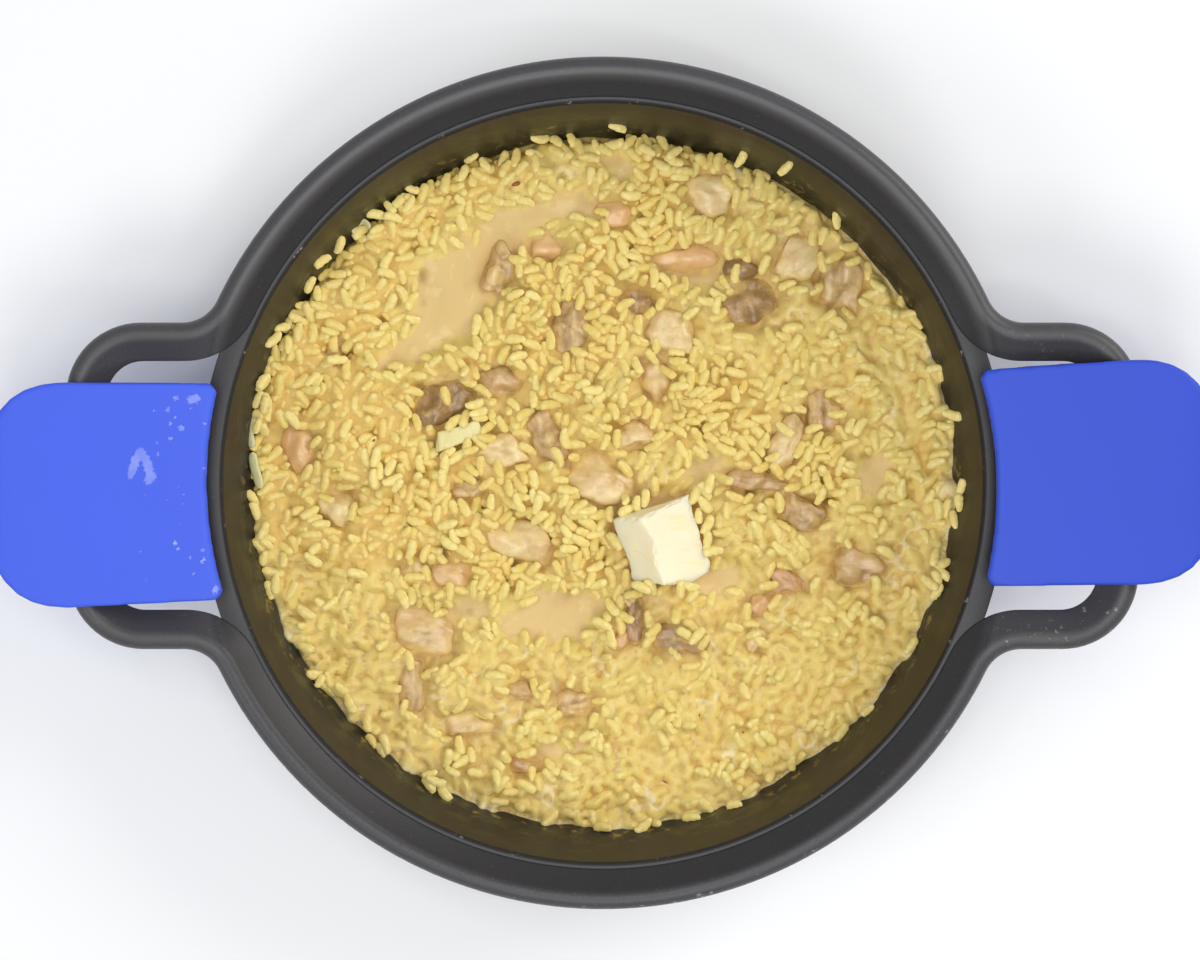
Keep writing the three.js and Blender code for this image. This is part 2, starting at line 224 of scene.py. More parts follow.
def area_light(name, power, size, where, colour=(1.0, 1.0, 1.0)):
    light = bpy.data.lights.new(name, "AREA")
    light.energy = power
    light.size = size
    light.color = colour
    lamp = bpy.data.objects.new(name, light)
    lamp.location = where
    lamp.rotation_euler = (LIGHTS_AIM - Vector(where)).to_track_quat("-Z", "Y").to_euler()
    scene.collection.objects.link(lamp)


area_light("overhead", 8.5, 0.8, (0.02, 0.03, 1.75), (1.0, 0.99, 0.97))
area_light("window", 32.5, 1.3, (2.0, 1.3, 1.5), (1.0, 0.97, 0.92))
area_light("front", 7.0, 0.55, (0.10, -1.0, 1.6))
area_light("left_fill", 6.2, 0.8, (-1.3, -0.5, 1.3))
area_light("lamp_right", 1.0, 0.09, (0.38, -0.28, 1.4))
area_light("lamp_back", 0.5, 0.09, (-0.32, 0.45, 1.4))

CAMERA_TILT = math.radians(2.7)
CAMERA_REACH = 1.0  # metres from the lens to the pan's rim
RIM_HEIGHT = 0.075
VIEW_WIDTH = 0.50064  # metres across the view at the rim
AIM = (-0.00125, 0.00263)  # where the middle of the view meets the rim's plane
SENSOR = 36.0
camera_data = bpy.data.cameras.new("camera")
camera_data.sensor_width = SENSOR
camera_data.lens = SENSOR * CAMERA_REACH / VIEW_WIDTH
camera = bpy.data.objects.new("camera", camera_data)
camera.location = (
    AIM[0],
    AIM[1] + CAMERA_REACH * math.sin(CAMERA_TILT),
    RIM_HEIGHT + CAMERA_REACH * math.cos(CAMERA_TILT),
)
camera.rotation_euler = (-CAMERA_TILT, 0, 0)
scene.collection.objects.link(camera)
scene.camera = camera

# ---------------------------------------------------------------- the cast pan
# A heavy round casting with a sloping wall, a narrow ledge for a lid, and a thick lip that
# runs on into two loop handles. It has a dark, finely speckled non-stick coat, rubbed paler
# in specks on the lip. The lip's outer side is also painted lighter as a painted sheen, and
# the back of its inner slope lighter still as a painted highlight.
MOUTH = 0.160  # inner radius at the ledge
LEDGE = 0.070  # height of the ledge
LEAN = math.radians(12.5)  # of the wall, outwards
WALL = 0.0045
FLOOR = 0.006
INNER_BEND, OUTER_BEND = 0.016, 0.014  # where the wall meets the floor and the base
FLANGE = 0.170  # outer radius of the ledge
LIP_LINE = 0.170  # radius of the lip's middle line
LIP_WIDTH = 0.016
LIP_HEIGHT = 0.010
LIP_DEPTH = 0.004
RIDGE = 0.0048  # radius of the lip's round top
LOOP_HALF_WIDTH = 0.0602
LOOP_REACH = 0.2156
LOOP_CORNER = 0.0235
LOOP_ROOT = 0.0245  # radius of the hollow between the lip and a loop
PAN_STEPS = 240


def arc(centre, radius, start, end, steps):
    """Points round an arc, angles in degrees."""
    angles = [math.radians(start + (end - start) * i / steps) for i in range(steps + 1)]
    return [(centre[0] + radius * math.cos(a), centre[1] + radius * math.sin(a)) for a in angles]


def inside_radius(height):
    return MOUTH - (LEDGE - height) * math.tan(LEAN)


def swept_rings(rings, closed=True):
    """Faces between rings of equal length; the last joins the first if closed."""
    count, around = len(rings), len(rings[0])
    faces = []
    for i in range(count if closed else count - 1):
        for j in range(around):
            a, b = i * around + j, i * around + (j + 1) % around
            c, d = (i + 1) % count * around + j, (i + 1) % count * around + (j + 1) % around
            faces.append((a, c, d, b))
    return [point for ring in rings for point in ring], faces


def pan_section():
    lean = math.degrees(LEAN)
    outer = lambda height: inside_radius(height) + WALL / math.cos(LEAN)
    outer_centre = (outer(OUTER_BEND) - OUTER_BEND / math.cos(LEAN), OUTER_BEND)
    inner_height = FLOOR + INNER_BEND
    inner_centre = (inside_radius(inner_height) - INNER_BEND / math.cos(LEAN), inner_height)
    under = LEDGE - 0.004
    points = [(0.001, 0.0), (0.06, 0.0), (0.11, 0.0)]
    points += arc(outer_centre, OUTER_BEND, -90, -lean, 8)
    points += [(outer(0.035), 0.035), (outer(under - 0.004), under - 0.004)]
    points += arc((FLANGE - 0.001, under + 0.0015), 0.001, -80, 0, 2)
    points += arc((FLANGE - 0.0008, LEDGE - 0.0008), 0.0008, 0, 90, 3)
    points += arc((MOUTH + 0.0007, LEDGE - 0.0007), 0.0007, 90, 180 - lean, 3)
    points += [(inside_radius(z), z) for z in (0.066, 0.06, 0.05, 0.04, 0.03)]
    points += arc(inner_centre, INNER_BEND, -lean, -90, 8)
    return points + [(0.11, FLOOR), (0.06, FLOOR), (0.001, FLOOR)]


def lip_section():
    half = LIP_WIDTH / 2
    top = arc((half - RIDGE, LIP_HEIGHT - RIDGE), RIDGE, 138, 0, 12)
    start, bend, low = top[-1], (half, -LIP_DEPTH), (half / 4, -LIP_DEPTH)
    curve = lambda a, b, c, t: tuple(
        (1 - t) ** 2 * p + 2 * t * (1 - t) * q + t * t * r for p, q, r in zip(a, b, c)
    )
    right = [curve(start, bend, low, t / 6) for t in range(1, 7)]
    left = [curve(low, (-half, -LIP_DEPTH), (-half, 0), t / 6) for t in range(1, 7)]
    foot = [(-half + 0.0007, 0.0004)]
    return top + right + left + foot


def lip_line():
    """Stations round the lip and the two loops: place, and the way that faces out."""
    root_y = LOOP_HALF_WIDTH + LOOP_ROOT
    root_x = math.sqrt((LIP_LINE + LOOP_ROOT) ** 2 - root_y**2)
    leave = math.atan2(root_y, root_x)
    quarter = []

    def bend(x, y, radius, start, end, facing, steps):
        for i in range(steps + 1):
            a = start + (end - start) * i / steps
            out = (math.cos(a), math.sin(a))
            quarter.append((x + radius * out[0], y + radius * out[1], facing * out[0], facing * out[1]))

    bend(0, 0, LIP_LINE, math.pi / 2, leave, 1, 40)
    quarter.pop()
    bend(root_x, root_y, LOOP_ROOT, leave + math.pi, 1.5 * math.pi, -1, 14)
    corner = (LOOP_REACH - LOOP_CORNER, LOOP_HALF_WIDTH - LOOP_CORNER)
    for i in range(1, 4):
        quarter.append((root_x + (corner[0] - root_x) * i / 4, LOOP_HALF_WIDTH, 0, 1))
    bend(*corner, LOOP_CORNER, math.pi / 2, 0, 1, 16)
    for i in range(1, 7):
        quarter.append((LOOP_REACH, corner[1] * (1 - i / 6), 1, 0))
    flip = lambda line, sx, sy: [(sx * x, sy * y, sx * u, sy * v) for x, y, u, v in reversed(line)]
    right = quarter + flip(quarter, 1, -1)[1:]
    return right + flip(right, -1, 1)[1:-1]


def make_pan(material):
    section = pan_section()
    rings = []
    for i in range(PAN_STEPS):
        a = 2 * math.pi * i / PAN_STEPS
        rings.append([(r * math.cos(a), r * math.sin(a), z) for r, z in section])
    points, faces = swept_rings(rings)
    lip = lip_section()
    rings = []
    for x, y, out_x, out_y in lip_line():
        rings.append([(x + u * out_x, y + u * out_y, LEDGE + v) for u, v in lip])
    lip_points, lip_faces = swept_rings(rings)
    faces += [tuple(i + len(points) for i in face) for face in lip_faces]
    return mesh_object("cast_pan", points + lip_points, faces, material)


coating, shader, place = new_surface("speckled_coating")
x, y, z = place.parts()
radius = (x * x + y * y).power(0.5)
inside = radius - (MOUTH + (z - LEDGE) * math.tan(LEAN))
cloudy = place.noise(0.03, detail=4)
grit = place.noise(0.0009, detail=2)
pale_fleck = place.noise(0.0014, detail=1, seed=3.0).step(0.70, 0.76)
ledge_top = z.step(LEDGE - 0.0015, LEDGE - 0.0005) * radius.step(FLANGE + 0.002, FLANGE - 0.001)
lip_side = radius.step(LIP_LINE + 0.0025, LIP_LINE + 0.005) * z.step(LEDGE - 0.008, LEDGE - 0.002)
lip_slope = radius.step(LIP_LINE - 0.003, LIP_LINE + 0.0015)
lip_slope = lip_slope * radius.step(LIP_LINE + 0.004, LIP_LINE + 0.0015) * z.step(LEDGE - 0.001, LEDGE)
on_wall = inside.step(0.0012, 0.0006) * z.step(LEDGE + 0.0003, LEDGE - 0.001)
streaks = place.scaled(1.0, 1.0, 1.6).noise(0.016, detail=6, roughness=0.66, seed=7.0)
dabs = place.noise(0.006, detail=4, roughness=0.6, seed=8.0)
low_wall = z.step(0.066, 0.040)
shaded = (0.85 * x + 0.5 * y).step(-0.03, 0.12)
smear = on_wall * streaks.step(0.46, 0.66) * (0.22 + 0.78 * low_wall) * (1 - 0.5 * shaded)
crust = on_wall * z.step(0.052, 0.040) * dabs.step(0.56, 0.68)
edge = radius.step(MOUTH - 0.0012, MOUTH - 0.0006) * radius.step(MOUTH + 0.0012, MOUTH + 0.0004)
edge = edge * z.step(LEDGE - 0.0025, LEDGE - 0.0015)
scratched = edge * place.noise(0.006, detail=6, roughness=0.75, seed=5.0).step(0.60, 0.66)
rubbed = radius.step(LIP_LINE + 0.0035, LIP_LINE + 0.0065) * (x - y).step(0.08, 0.20)
rubbed = rubbed * z.step(LEDGE - 0.001, LEDGE + 0.002)
rubbed = rubbed * place.noise(0.0035, detail=5, roughness=0.7, seed=6.0).step(0.60, 0.66)
colour = painted(
    cloudy.blend((0.026, 0.024, 0.028), (0.041, 0.038, 0.044)),
    (grit.step(0.35, 0.75), 0.5, (0.070, 0.067, 0.075)),
    (pale_fleck, 0.5, (0.20, 0.20, 0.21)),
    (ledge_top, 0.7, (0.020, 0.019, 0.021)),
    # painted light: the lip's outer side is painted lighter as sheen, and the back of its inner slope as a
    # highlight
    (lip_side, 0.5, (0.080, 0.077, 0.083)),
    (lip_slope * y.step(0.02, 0.10), 0.75, (0.105, 0.102, 0.107)),
    (on_wall, 0.9, shaded.blend((0.019, 0.017, 0.015), (0.011, 0.008, 0.007))),
    # the low wall at the back is painted a lighter olive: partly residue, partly painted light lifting the
    # shade the food casts there
    (on_wall * z.step(0.064, 0.050) * y.step(0.06, 0.13), 0.6, (0.064, 0.055, 0.022)),
    (smear, 0.7, (0.066, 0.057, 0.020)),
    (crust, 0.7, (0.34, 0.25, 0.06)),
    (scratched.either(rubbed), 0.7, (0.36, 0.35, 0.36)),
)
feed(
    shader,
    Base_Color=colour,
    Roughness=0.40 + 0.10 * cloudy - 0.14 * smear + 0.55 * edge,
    relief=0.00007 * place.noise(0.0011, detail=3) + 0.00015 * smear + 0.0004 * crust,
)
pan = make_pan(coating)
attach(pan, "root")
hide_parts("pan")

# ---------------------------------------------------------------- the silicone sleeves
# Each handle wears a folded sleeve of soft blue silicone, moulded smooth with rounded edges.
# The left one has a few dried water drops and a smear on it, the smear painted pale partly as the painted
# highlight of a wet smear.
SLEEVE_MESH = 0.0010
# Both sleeves are the same silicone; the right one's colour is darker as painted shade.
SLEEVES = {
    "left": {"colour": (0.053, 0.117, 0.79), "marked": True},
    "right": {"colour": (0.028, 0.074, 0.60), "marked": False},
}
SMEARS_AND_SHEEN = (  # x, y, half length, half width and turn of each dried smear on the left sleeve; all are painted pale, the first three partly as a painted highlight
    (-0.1935, 0.0100, 0.0078, 0.0022, 70),
    (-0.1885, 0.0095, 0.0082, 0.0022, 110),
    (-0.1872, 0.0040, 0.0036, 0.0024, 60),
    (-0.1690, 0.0365, 0.0032, 0.0022, 10),
    (-0.1765, 0.0370, 0.0014, 0.0011, 0),
    (-0.1742, 0.0245, 0.0014, 0.0012, 0),
    (-0.1605, -0.0425, 0.0022, 0.0014, 60),
    (-0.1660, -0.0310, 0.0012, 0.0009, 30),
)
DROP_COUNT = 26
DROPS_X, DROPS_Y = (-0.197, -0.163), (-0.044, 0.034)  # where the dried drops lie


def solid_tree(mesh):
    return BVHTree.FromPolygons([v.co for v in mesh.vertices], [p.vertices[:] for p in mesh.polygons])


def remeshed(name, source, size, material):
    """A copy of a solid as an even skin of small faces."""
    piece = bpy.data.objects.new(name, source.data.copy())
    scene.collection.objects.link(piece)
    remesh = piece.modifiers.new("skin", "REMESH")
    remesh.mode = "VOXEL"
    remesh.voxel_size = size
    skin = bpy.data.meshes.new_from_object(piece.evaluated_get(bpy.context.evaluated_depsgraph_get()))
    piece.modifiers.clear()
    piece.data = skin
    solid = solid_tree(source.data)
    for vertex in skin.vertices:
        vertex.co = solid.find_nearest(vertex.co)[0]
    skin.name = name
    skin.materials.clear()
    skin.materials.append(material)
    return piece


def smooth_mesh(piece, repeats):
    every_way = {"use_axis_x": True, "use_axis_y": True, "use_axis_z": True}
    work = bmesh.new()
    work.from_mesh(piece.data)
    for _ in range(repeats):
        bmesh.ops.smooth_vert(work, verts=work.verts, factor=0.5, **every_way)
    for face in work.faces:
        face.smooth = True
    work.to_mesh(piece.data)
    work.free()


def oval_mark(x, y, mark):
    """1 inside an oval on the top, 0 outside it."""
    mark_x, mark_y, length, width, turn = mark
    u, v = own_axes(x, y, mark_x, mark_y, turn)
    u, v = u / length, v / width
    return (u * u + v * v).step(1.0, 0.45)


def silicone(name, colour, marked):
    material, shader, place = new_surface(name, gloss=0.35)
    haze = place.noise(0.05, detail=4)
    body = haze.blend(colour, tuple(0.92 * c for c in colour))
    grain = place.noise(0.0012, detail=2)
    mark = 0.0 * grain
    if marked:
        z = place.parts()[2]
        x, y, _ = place.warped(0.0012, 0.003).parts()
        drops = np.random.default_rng(4)
        # the smears are dried water painted pale, and in part a painted highlight on the wet smear
        for smear in SMEARS_AND_SHEEN:
            film = oval_mark(x, y, smear)
            mark = mark.either(film * (0.25 + 0.9 * place.noise(0.004, detail=3)))
        for _ in range(DROP_COUNT):
            size = 0.0004 + 0.0008 * drops.random() ** 3
            spot = (drops.uniform(*DROPS_X), drops.uniform(*DROPS_Y), size, size, 0)
            mark = mark.either(oval_mark(x, y, spot) * drops.uniform(0.5, 1.2))
        mark = mark * z.step(0.070, 0.072)
    feed(
        shader,
        Base_Color=(mark * 0.5).blend(body, (0.45, 0.53, 0.93)),
        Roughness=0.50 - 0.3 * mark,
        relief=0.00002 * grain + 0.00012 * mark,
    )
    return material


for side, look in SLEEVES.items():
    node = "grip_" + side
    material = silicone("silicone_" + side, **look)
    sleeve = remeshed("sleeve_" + side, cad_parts[node], SLEEVE_MESH, material)
    smooth_mesh(sleeve, 6)
    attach(sleeve, "root")
    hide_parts(node)

# ---------------------------------------------------------------- the chunks of chicken
# Boned chicken cut small by hand: soft chunks with cut sides and a cleft along the meat's
# fibres, some pale, some browned in the pan. They lie bedded in the rice and coated in sauce.
MEAT_MESH = 0.0008
MEAT_COUNT = sum(name.startswith("chicken_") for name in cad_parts)
BROWNED = (  # how far each chunk has browned, in the order of their numbers
    0.04, 0.10, 0.12, 0.42, 1.20, 0.85, 0.17, 0.62, 0.14, 0.62, 0.05, 0.40, 0.58,
    0.90, 0.04, 0.47, 0.54, 0.20, 0.32, 0.28, 0.26, 0.62, 0.62, 0.48, 0.54, 0.74,
    0.95, 0.90, 0.12, 0.36, 0.15, 0.36, 0.60, 0.00, 0.25, 1.00, 0.38, 0.15,
)
ROSY = {2: 1.0, 7: 1.0, 11: 1.0, 26: 0.8, 30: 0.7, 35: 1.0, 36: 0.3}  # chunks with a rosy side
SMOOTH = (1, 2, 3, 5, 7, 9, 11, 15, 18, 20, 21, 25, 29, 31, 32, 33, 34, 35)  # cut cleanly, with few folds
CLEAN, TORN, SHREDDED = 0.2, 0.9, 0.6  # how deep the folds of smooth, other and small pieces are
FACETS = 4  # flat sides pressed or cut into each chunk
SAUCE_COLOUR = (0.72, 0.49, 0.145)
SCRAPS = (  # x, y, length, width, turn, how browned and how rosy each smaller scrap is
    (-0.116, 0.055, 0.012, 0.007, 115, 0.45, 1.0),
    (0.068, -0.054, 0.011, 0.009, 80, 0.55, 1.0),
    (0.067, -0.069, 0.012, 0.009, 70, 0.15, 0.0),
    (0.007, -0.069, 0.011, 0.009, 60, 0.30, 1.0),
    (-0.036, -0.091, 0.013, 0.009, 0, 0.45, 0.3),
    (0.012, -0.052, 0.010, 0.007, 120, 0.40, 0.6),
)
SCRAP_HEIGHT = 0.0325
SCRAP_SEED = 60


def unit(values):
    return np.clip(values, 0, 1)


def waves(points, length, count, rng, stretch=(1.0, 1.0, 1.0)):
    """A smooth uneven field over points, about -1 to 1, with bumps about length apart."""
    field = np.zeros(len(points))
    for _ in range(count):
        way = rng.normal(size=3)
        way *= 2 * math.pi / (length * rng.uniform(0.8, 1.5)) / np.linalg.norm(way)
        field += np.sin(points @ (way * np.array(stretch)) + rng.uniform(0, 2 * math.pi))
    return field / math.sqrt(count)


def vertex_array(mesh, attribute="co"):
    values = np.empty(3 * len(mesh.vertices))
    mesh.vertices.foreach_get(attribute, values)
    return values.reshape(-1, 3)


def set_vertices(mesh, points):
    mesh.vertices.foreach_set("co", np.asarray(points).ravel())
    mesh.update()


def add_values(mesh, name, values):
    """Keeps a number or a vector for each vertex, for the material to read."""
    values = np.asarray(values, dtype=float)
    kind = "FLOAT" if values.ndim == 1 else "FLOAT_VECTOR"
    layer = mesh.attributes.new(name, kind, "POINT")
    layer.data.foreach_set("value" if values.ndim == 1 else "vector", values.ravel())


def shape_meat(piece, seed, rough):
    """Rounds a chunk's corners, presses flat sides into it, and gives it lumps and, at times, a cleft."""
    rng = np.random.default_rng(seed)
    box = vertex_array(piece.data)
    smooth_mesh(piece, 4)
    points = vertex_array(piece.data)
    middle = (points.min(axis=0) + points.max(axis=0)) / 2
    local = points - middle
    ways = np.linalg.eigh(np.cov(local[:, :2].T))[1]
    along = np.array([*ways[:, 1], 0.0])
    across = np.array([-along[1], along[0], 0.0])
    own = np.stack([local @ along, local @ across, local[:, 2]], axis=1)
    size = np.abs(own).max(axis=0)
    reach = np.linalg.norm(own, axis=1).mean()
    for _ in range(FACETS):
        way = rng.normal(size=3) * (1.0, 1.0, 0.7) + (0, 0, 0.5)  # more often from above
        way /= np.linalg.norm(way)
        cut = (own @ way).max() * rng.uniform(0.62, 0.86)
        own -= np.outer(np.maximum(0, own @ way - cut), way) * 0.85
    normal = own / np.linalg.norm(own, axis=1)[:, None]
    valley = own[:, 1] - size[1] * (rng.uniform(-0.3, 0.3) + rng.uniform(-0.4, 0.4) * own[:, 0] / size[0])
    cleft = np.exp(-((valley / (0.16 * size[1])) ** 2)) * unit(own[:, 2] / size[2])
    lumps = 0.09 * reach * waves(own, 1.2 * reach, 8, rng)
    lumps += 0.028 * rough * reach * waves(own, 0.55 * reach, 8, rng)
    valleys = np.exp(-((waves(own, 1.7 * reach, 6, rng) / 0.16) ** 2))
    folds = 0.14 * rough * reach * valleys * rng.uniform(0, 1)
    furrows = 0.022 * reach * waves(own, 0.5 * reach, 9, rng, (0.6, 1.0, 1.0))
    pits = 0.008 * reach * waves(own, 0.25 * reach, 9, rng)
    groove = 0.22 * rough * reach * max(0, rng.uniform(-1.4, 1)) * cleft
    own += normal * (lumps + furrows + pits - groove - folds)[:, None]
    # how deep each point lies in a fold, cleft or pit, for the hollows to be painted darker as painted
    # shade
    hollow = (groove + folds - furrows - 1.5 * pits) / (0.08 * reach)
    placed = middle + np.outer(own[:, 0], along) + np.outer(own[:, 1], across) + own[:, 2:] * (0, 0, 1)
    placed = (placed - placed.min(axis=0)) / np.ptp(placed, axis=0) * np.ptp(box, axis=0) + box.min(axis=0)
    set_vertices(piece.data, placed)
    add_values(piece.data, "fibre_place", own + rng.uniform(-1, 1, 3))
    add_values(piece.data, "side", 1 - own[:, 2] / own[:, 2].max())
    add_values(piece.data, "hollow", np.clip(hollow, 0, 1.5))


meat_look, shader, place = new_surface("chicken_meat", gloss=0.55, soft=(0.35, 0.002, (1.0, 0.7, 0.4)))
fibre = place.kept("fibre_place", out=1)
strands = fibre.scaled(0.22, 1.0, 1.0).noise(0.0014, detail=4, roughness=0.6)
patches = fibre.noise(0.007, detail=4, roughness=0.6)
veins = fibre.scaled(0.3, 1.0, 1.0).noise(0.005, detail=3, seed=2.0)
shade = place.kept("browned") + 1.2 * (patches - 0.5) + 0.2 * veins.step(0.54, 0.70)
# painted shade: the hollows are painted darker
shade = shade + 0.22 * place.kept("side") - 0.1 * strands + 0.2 * place.kept("hollow")
stops = [
    (0.0, (0.83, 0.65, 0.33)),
    (0.35, (0.68, 0.485, 0.215)),
    (0.65, (0.48, 0.30, 0.115)),
    (1.0, (0.28, 0.16, 0.055)),
]
blush = fibre.noise(0.008, detail=3, seed=8.0).step(0.50, 0.66)
splashes = fibre.noise(0.006, detail=3, seed=6.0).step(0.56, 0.70) * 0.5
coated = splashes.either((place.kept("soak") + strands * 0.8).step(1.1, 0.2))
colour = painted(
    shade.add("ValToRGB", {"stops": stops}, {"Fac": shade}),
    (place.kept("rosy"), 0.35 + 0.5 * patches, (0.74, 0.42, 0.20)),
    (blush, 0.4, (0.72, 0.43, 0.24)),
    (coated, 0.85, SAUCE_COLOUR),
)
feed(
    shader,
    Base_Color=colour,
    Roughness=0.20 - 0.06 * coated + 0.1 * strands,
    relief=0.00022 * strands * (1.1 - coated) + 0.00036 * patches,
)

chunks = []


def finish_meat(chunk, seed, browned, rosy, rough):
    shape_meat(chunk, seed, rough)
    smooth_mesh(chunk, 2)
    count = len(chunk.data.vertices)
    add_values(chunk.data, "browned", np.full(count, browned))
    add_values(chunk.data, "rosy", np.full(count, rosy))
    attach(chunk, "root")
    chunks.append(chunk)


def pebble(name, rounds, spot, length, width, turn, narrowing, material):
    """A flat oval lump, turned by degrees; narrowing makes one end slimmer than the other."""
    work = bmesh.new()
    bmesh.ops.create_icosphere(work, subdivisions=rounds, radius=0.5)
    a = math.radians(turn)
    for vertex in work.verts:
        u = vertex.co.x * length
        v = vertex.co.y * width * (1 + narrowing * vertex.co.x)
        x = spot[0] + u * math.cos(a) - v * math.sin(a)
        y = spot[1] + u * math.sin(a) + v * math.cos(a)
        vertex.co = (x, y, spot[2] + vertex.co.z * 0.8 * width)
    for face in work.faces:
        face.smooth = True
    mesh = bpy.data.meshes.new(name)
    work.to_mesh(mesh)
    work.free()
    return new_object(mesh, material)


for number in range(1, MEAT_COUNT + 1):
    node = f"chicken_{number:02d}"
    chunk = remeshed(f"meat_{number:02d}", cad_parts[node], MEAT_MESH, meat_look)
    rough = CLEAN if number in SMOOTH else TORN
    finish_meat(chunk, number, BROWNED[number - 1], ROSY.get(number, 0.0), rough)
    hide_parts(node)
for number, (x, y, length, width, turn, browned, rosy) in enumerate(SCRAPS):
    scrap = pebble(f"scrap_{number + 1}", 4, (x, y, SCRAP_HEIGHT), length, width, turn, 0.0, meat_look)
    finish_meat(scrap, SCRAP_SEED + number, browned, rosy, SHREDDED)

# ---------------------------------------------------------------- the lump of butter
# A cold lump broken off a block of butter, with smooth pressed faces and ragged edges. It is
# only just beginning to melt where it lies on the rice.
BUTTER_MESH = 0.0005
butter_look, shader, place = new_surface("butter_surface", gloss=0.45, soft=(0.75, 0.012, (1.0, 0.7, 0.35)))
x, y, z = place.parts()
melting = z.step(0.039, 0.034)
creamy = place.noise(0.012, detail=3)
yellow = creamy.blend((0.93, 0.79, 0.53), (0.95, 0.85, 0.65))
streak = place.scaled(0.25, 1.0, 1.0).noise(0.006, detail=4, seed=4.0).step(0.56, 0.64)
yellow = (streak * 0.5).blend(yellow, (0.93, 0.78, 0.42))
feed(
    shader,
    Base_Color=melting.blend(yellow, (0.86, 0.70, 0.33)),
    Roughness=0.36 - 0.15 * melting,
    relief=0.00016 * place.noise(0.011, detail=2, roughness=0.4) + 0.00012 * streak,
)


def ragged(piece, seed, lumps, tears):
    """Wears a cut solid: broad lumps, and small tears where it broke."""
    rng = np.random.default_rng(seed)
    points = vertex_array(piece.data)
    normals = vertex_array(piece.data, "normal")
    smooth_mesh(piece, 20)
    worn = np.abs(((vertex_array(piece.data) - points) * normals).sum(axis=1))
    edges = unit((worn - 0.0001) / 0.0005)
    torn = np.clip(1.4 * waves(points, 0.0045, 8, rng), 0, 1.5) * edges
    points[:, 0] += 2.5 * lumps * waves(points * (0.2, 1, 1), 0.010, 5, rng)
    points += normals * (lumps * waves(points, 0.018, 6, rng) - tears * torn)[:, None]
    set_vertices(piece.data, points)


butter = remeshed("butter_lump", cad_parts["butter"], BUTTER_MESH, butter_look)
ragged(butter, seed=5, lumps=0.00030, tears=0.0023)
smooth_mesh(butter, 2)
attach(butter, "root")
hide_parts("butter")

# ---------------------------------------------------------------- the onion
# A thick slice and three thin strips of onion, cooked till clear. The slice lies on the rice
# beside the meat, and the strips cling to the food's edge and to the wall.
ONION_MESH = 0.0006
ONION_BITS = (  # height and lean, then places along the middle of each curved strip of onion
    (0.0410, 62, (-0.1500, 0.0290), (-0.1520, 0.0245), (-0.1522, 0.0195), (-0.1510, 0.0150)),
    (0.0405, 68, (-0.1512, 0.0130), (-0.1505, 0.0075), (-0.1490, 0.0020), (-0.1478, -0.0025)),
    (0.0370, 30, (-0.1075, 0.1070), (-0.1062, 0.1110), (-0.1028, 0.1122), (-0.1002, 0.1096)),
)
STRIP_WIDTH = 0.0044
STRIP_HALF_DEPTH = 0.0008
STRIP_STEPS, STRIP_SIDES = 24, 10

onion_look, shader, place = new_surface("onion_flesh", soft=(0.6, 0.004, (1.0, 0.9, 0.5)))
lines = place.scaled(1.0, 0.3, 1.0).noise(0.0016, detail=2)
feed(
    shader,
    Base_Color=lines.blend((0.70, 0.60, 0.24), (0.78, 0.70, 0.36)),
    Roughness=0.25 + 0.15 * lines,
    relief=0.00015 * lines,
)
onion = remeshed("onion_piece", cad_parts["onion_slice"], ONION_MESH, onion_look)
ragged(onion, seed=8, lumps=0.0004, tears=0.0006)
smooth_mesh(onion, 3)
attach(onion, "root")
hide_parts("onion_slice")


def strip(name, height, lean, line, material):
    """A thin curved band with rounded edges, through the places of a line."""
    line = [Vector((x, y, height)) for x, y in line]
    rings = []
    for step in range(STRIP_STEPS + 1):
        t = step / STRIP_STEPS * (len(line) - 1)
        k = min(int(t), len(line) - 2)
        before, after = line[max(k - 1, 0)], line[min(k + 2, len(line) - 1)]
        a, b, u = line[k], line[k + 1], t - k
        middle = a + (b - before) / 2 * u * (1 - u) ** 2
        middle = middle + (b - a) * (3 - 2 * u) * u * u - (after - a) / 2 * u * u * (1 - u)
        ahead = (b - before).lerp(after - a, u).normalized()
        side = Vector((-ahead.y, ahead.x, 0))
        # the band narrows at both ends
        full = math.sqrt(max(0.0, 1 - abs(2 * step / STRIP_STEPS - 1) ** 5)) + 0.05
        turns = [2 * math.pi * turn / STRIP_SIDES for turn in range(STRIP_SIDES)]
        up = Vector((0, 0, math.cos(math.radians(lean)))) + side * math.sin(math.radians(lean))
        out = ahead.cross(up)
        across = [(STRIP_HALF_DEPTH * math.cos(a), STRIP_WIDTH / 2 * full * math.sin(a)) for a in turns]
        rings.append([middle + out * u + up * v for u, v in across])
    points, faces = swept_rings(rings, closed=False)
    faces += [tuple(range(STRIP_SIDES - 1, -1, -1)), tuple(range(len(points) - STRIP_SIDES, len(points)))]
    return mesh_object(name, points, faces, material)


clear_onion, shader, place = new_surface("clear_onion", soft=(0.5, 0.002, (1.0, 0.95, 0.7)))
lines = place.noise(0.003, detail=3)
feed(
    shader,
    Base_Color=lines.blend((0.56, 0.54, 0.25), (0.72, 0.68, 0.40)),
    Roughness=0.22 + 0.15 * lines,
    relief=0.0002 * lines,
)
for number, (height, lean, *line) in enumerate(ONION_BITS):
    bit = strip(f"onion_bit_{number + 1}", height, lean, line, clear_onion)
    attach(bit, "root")

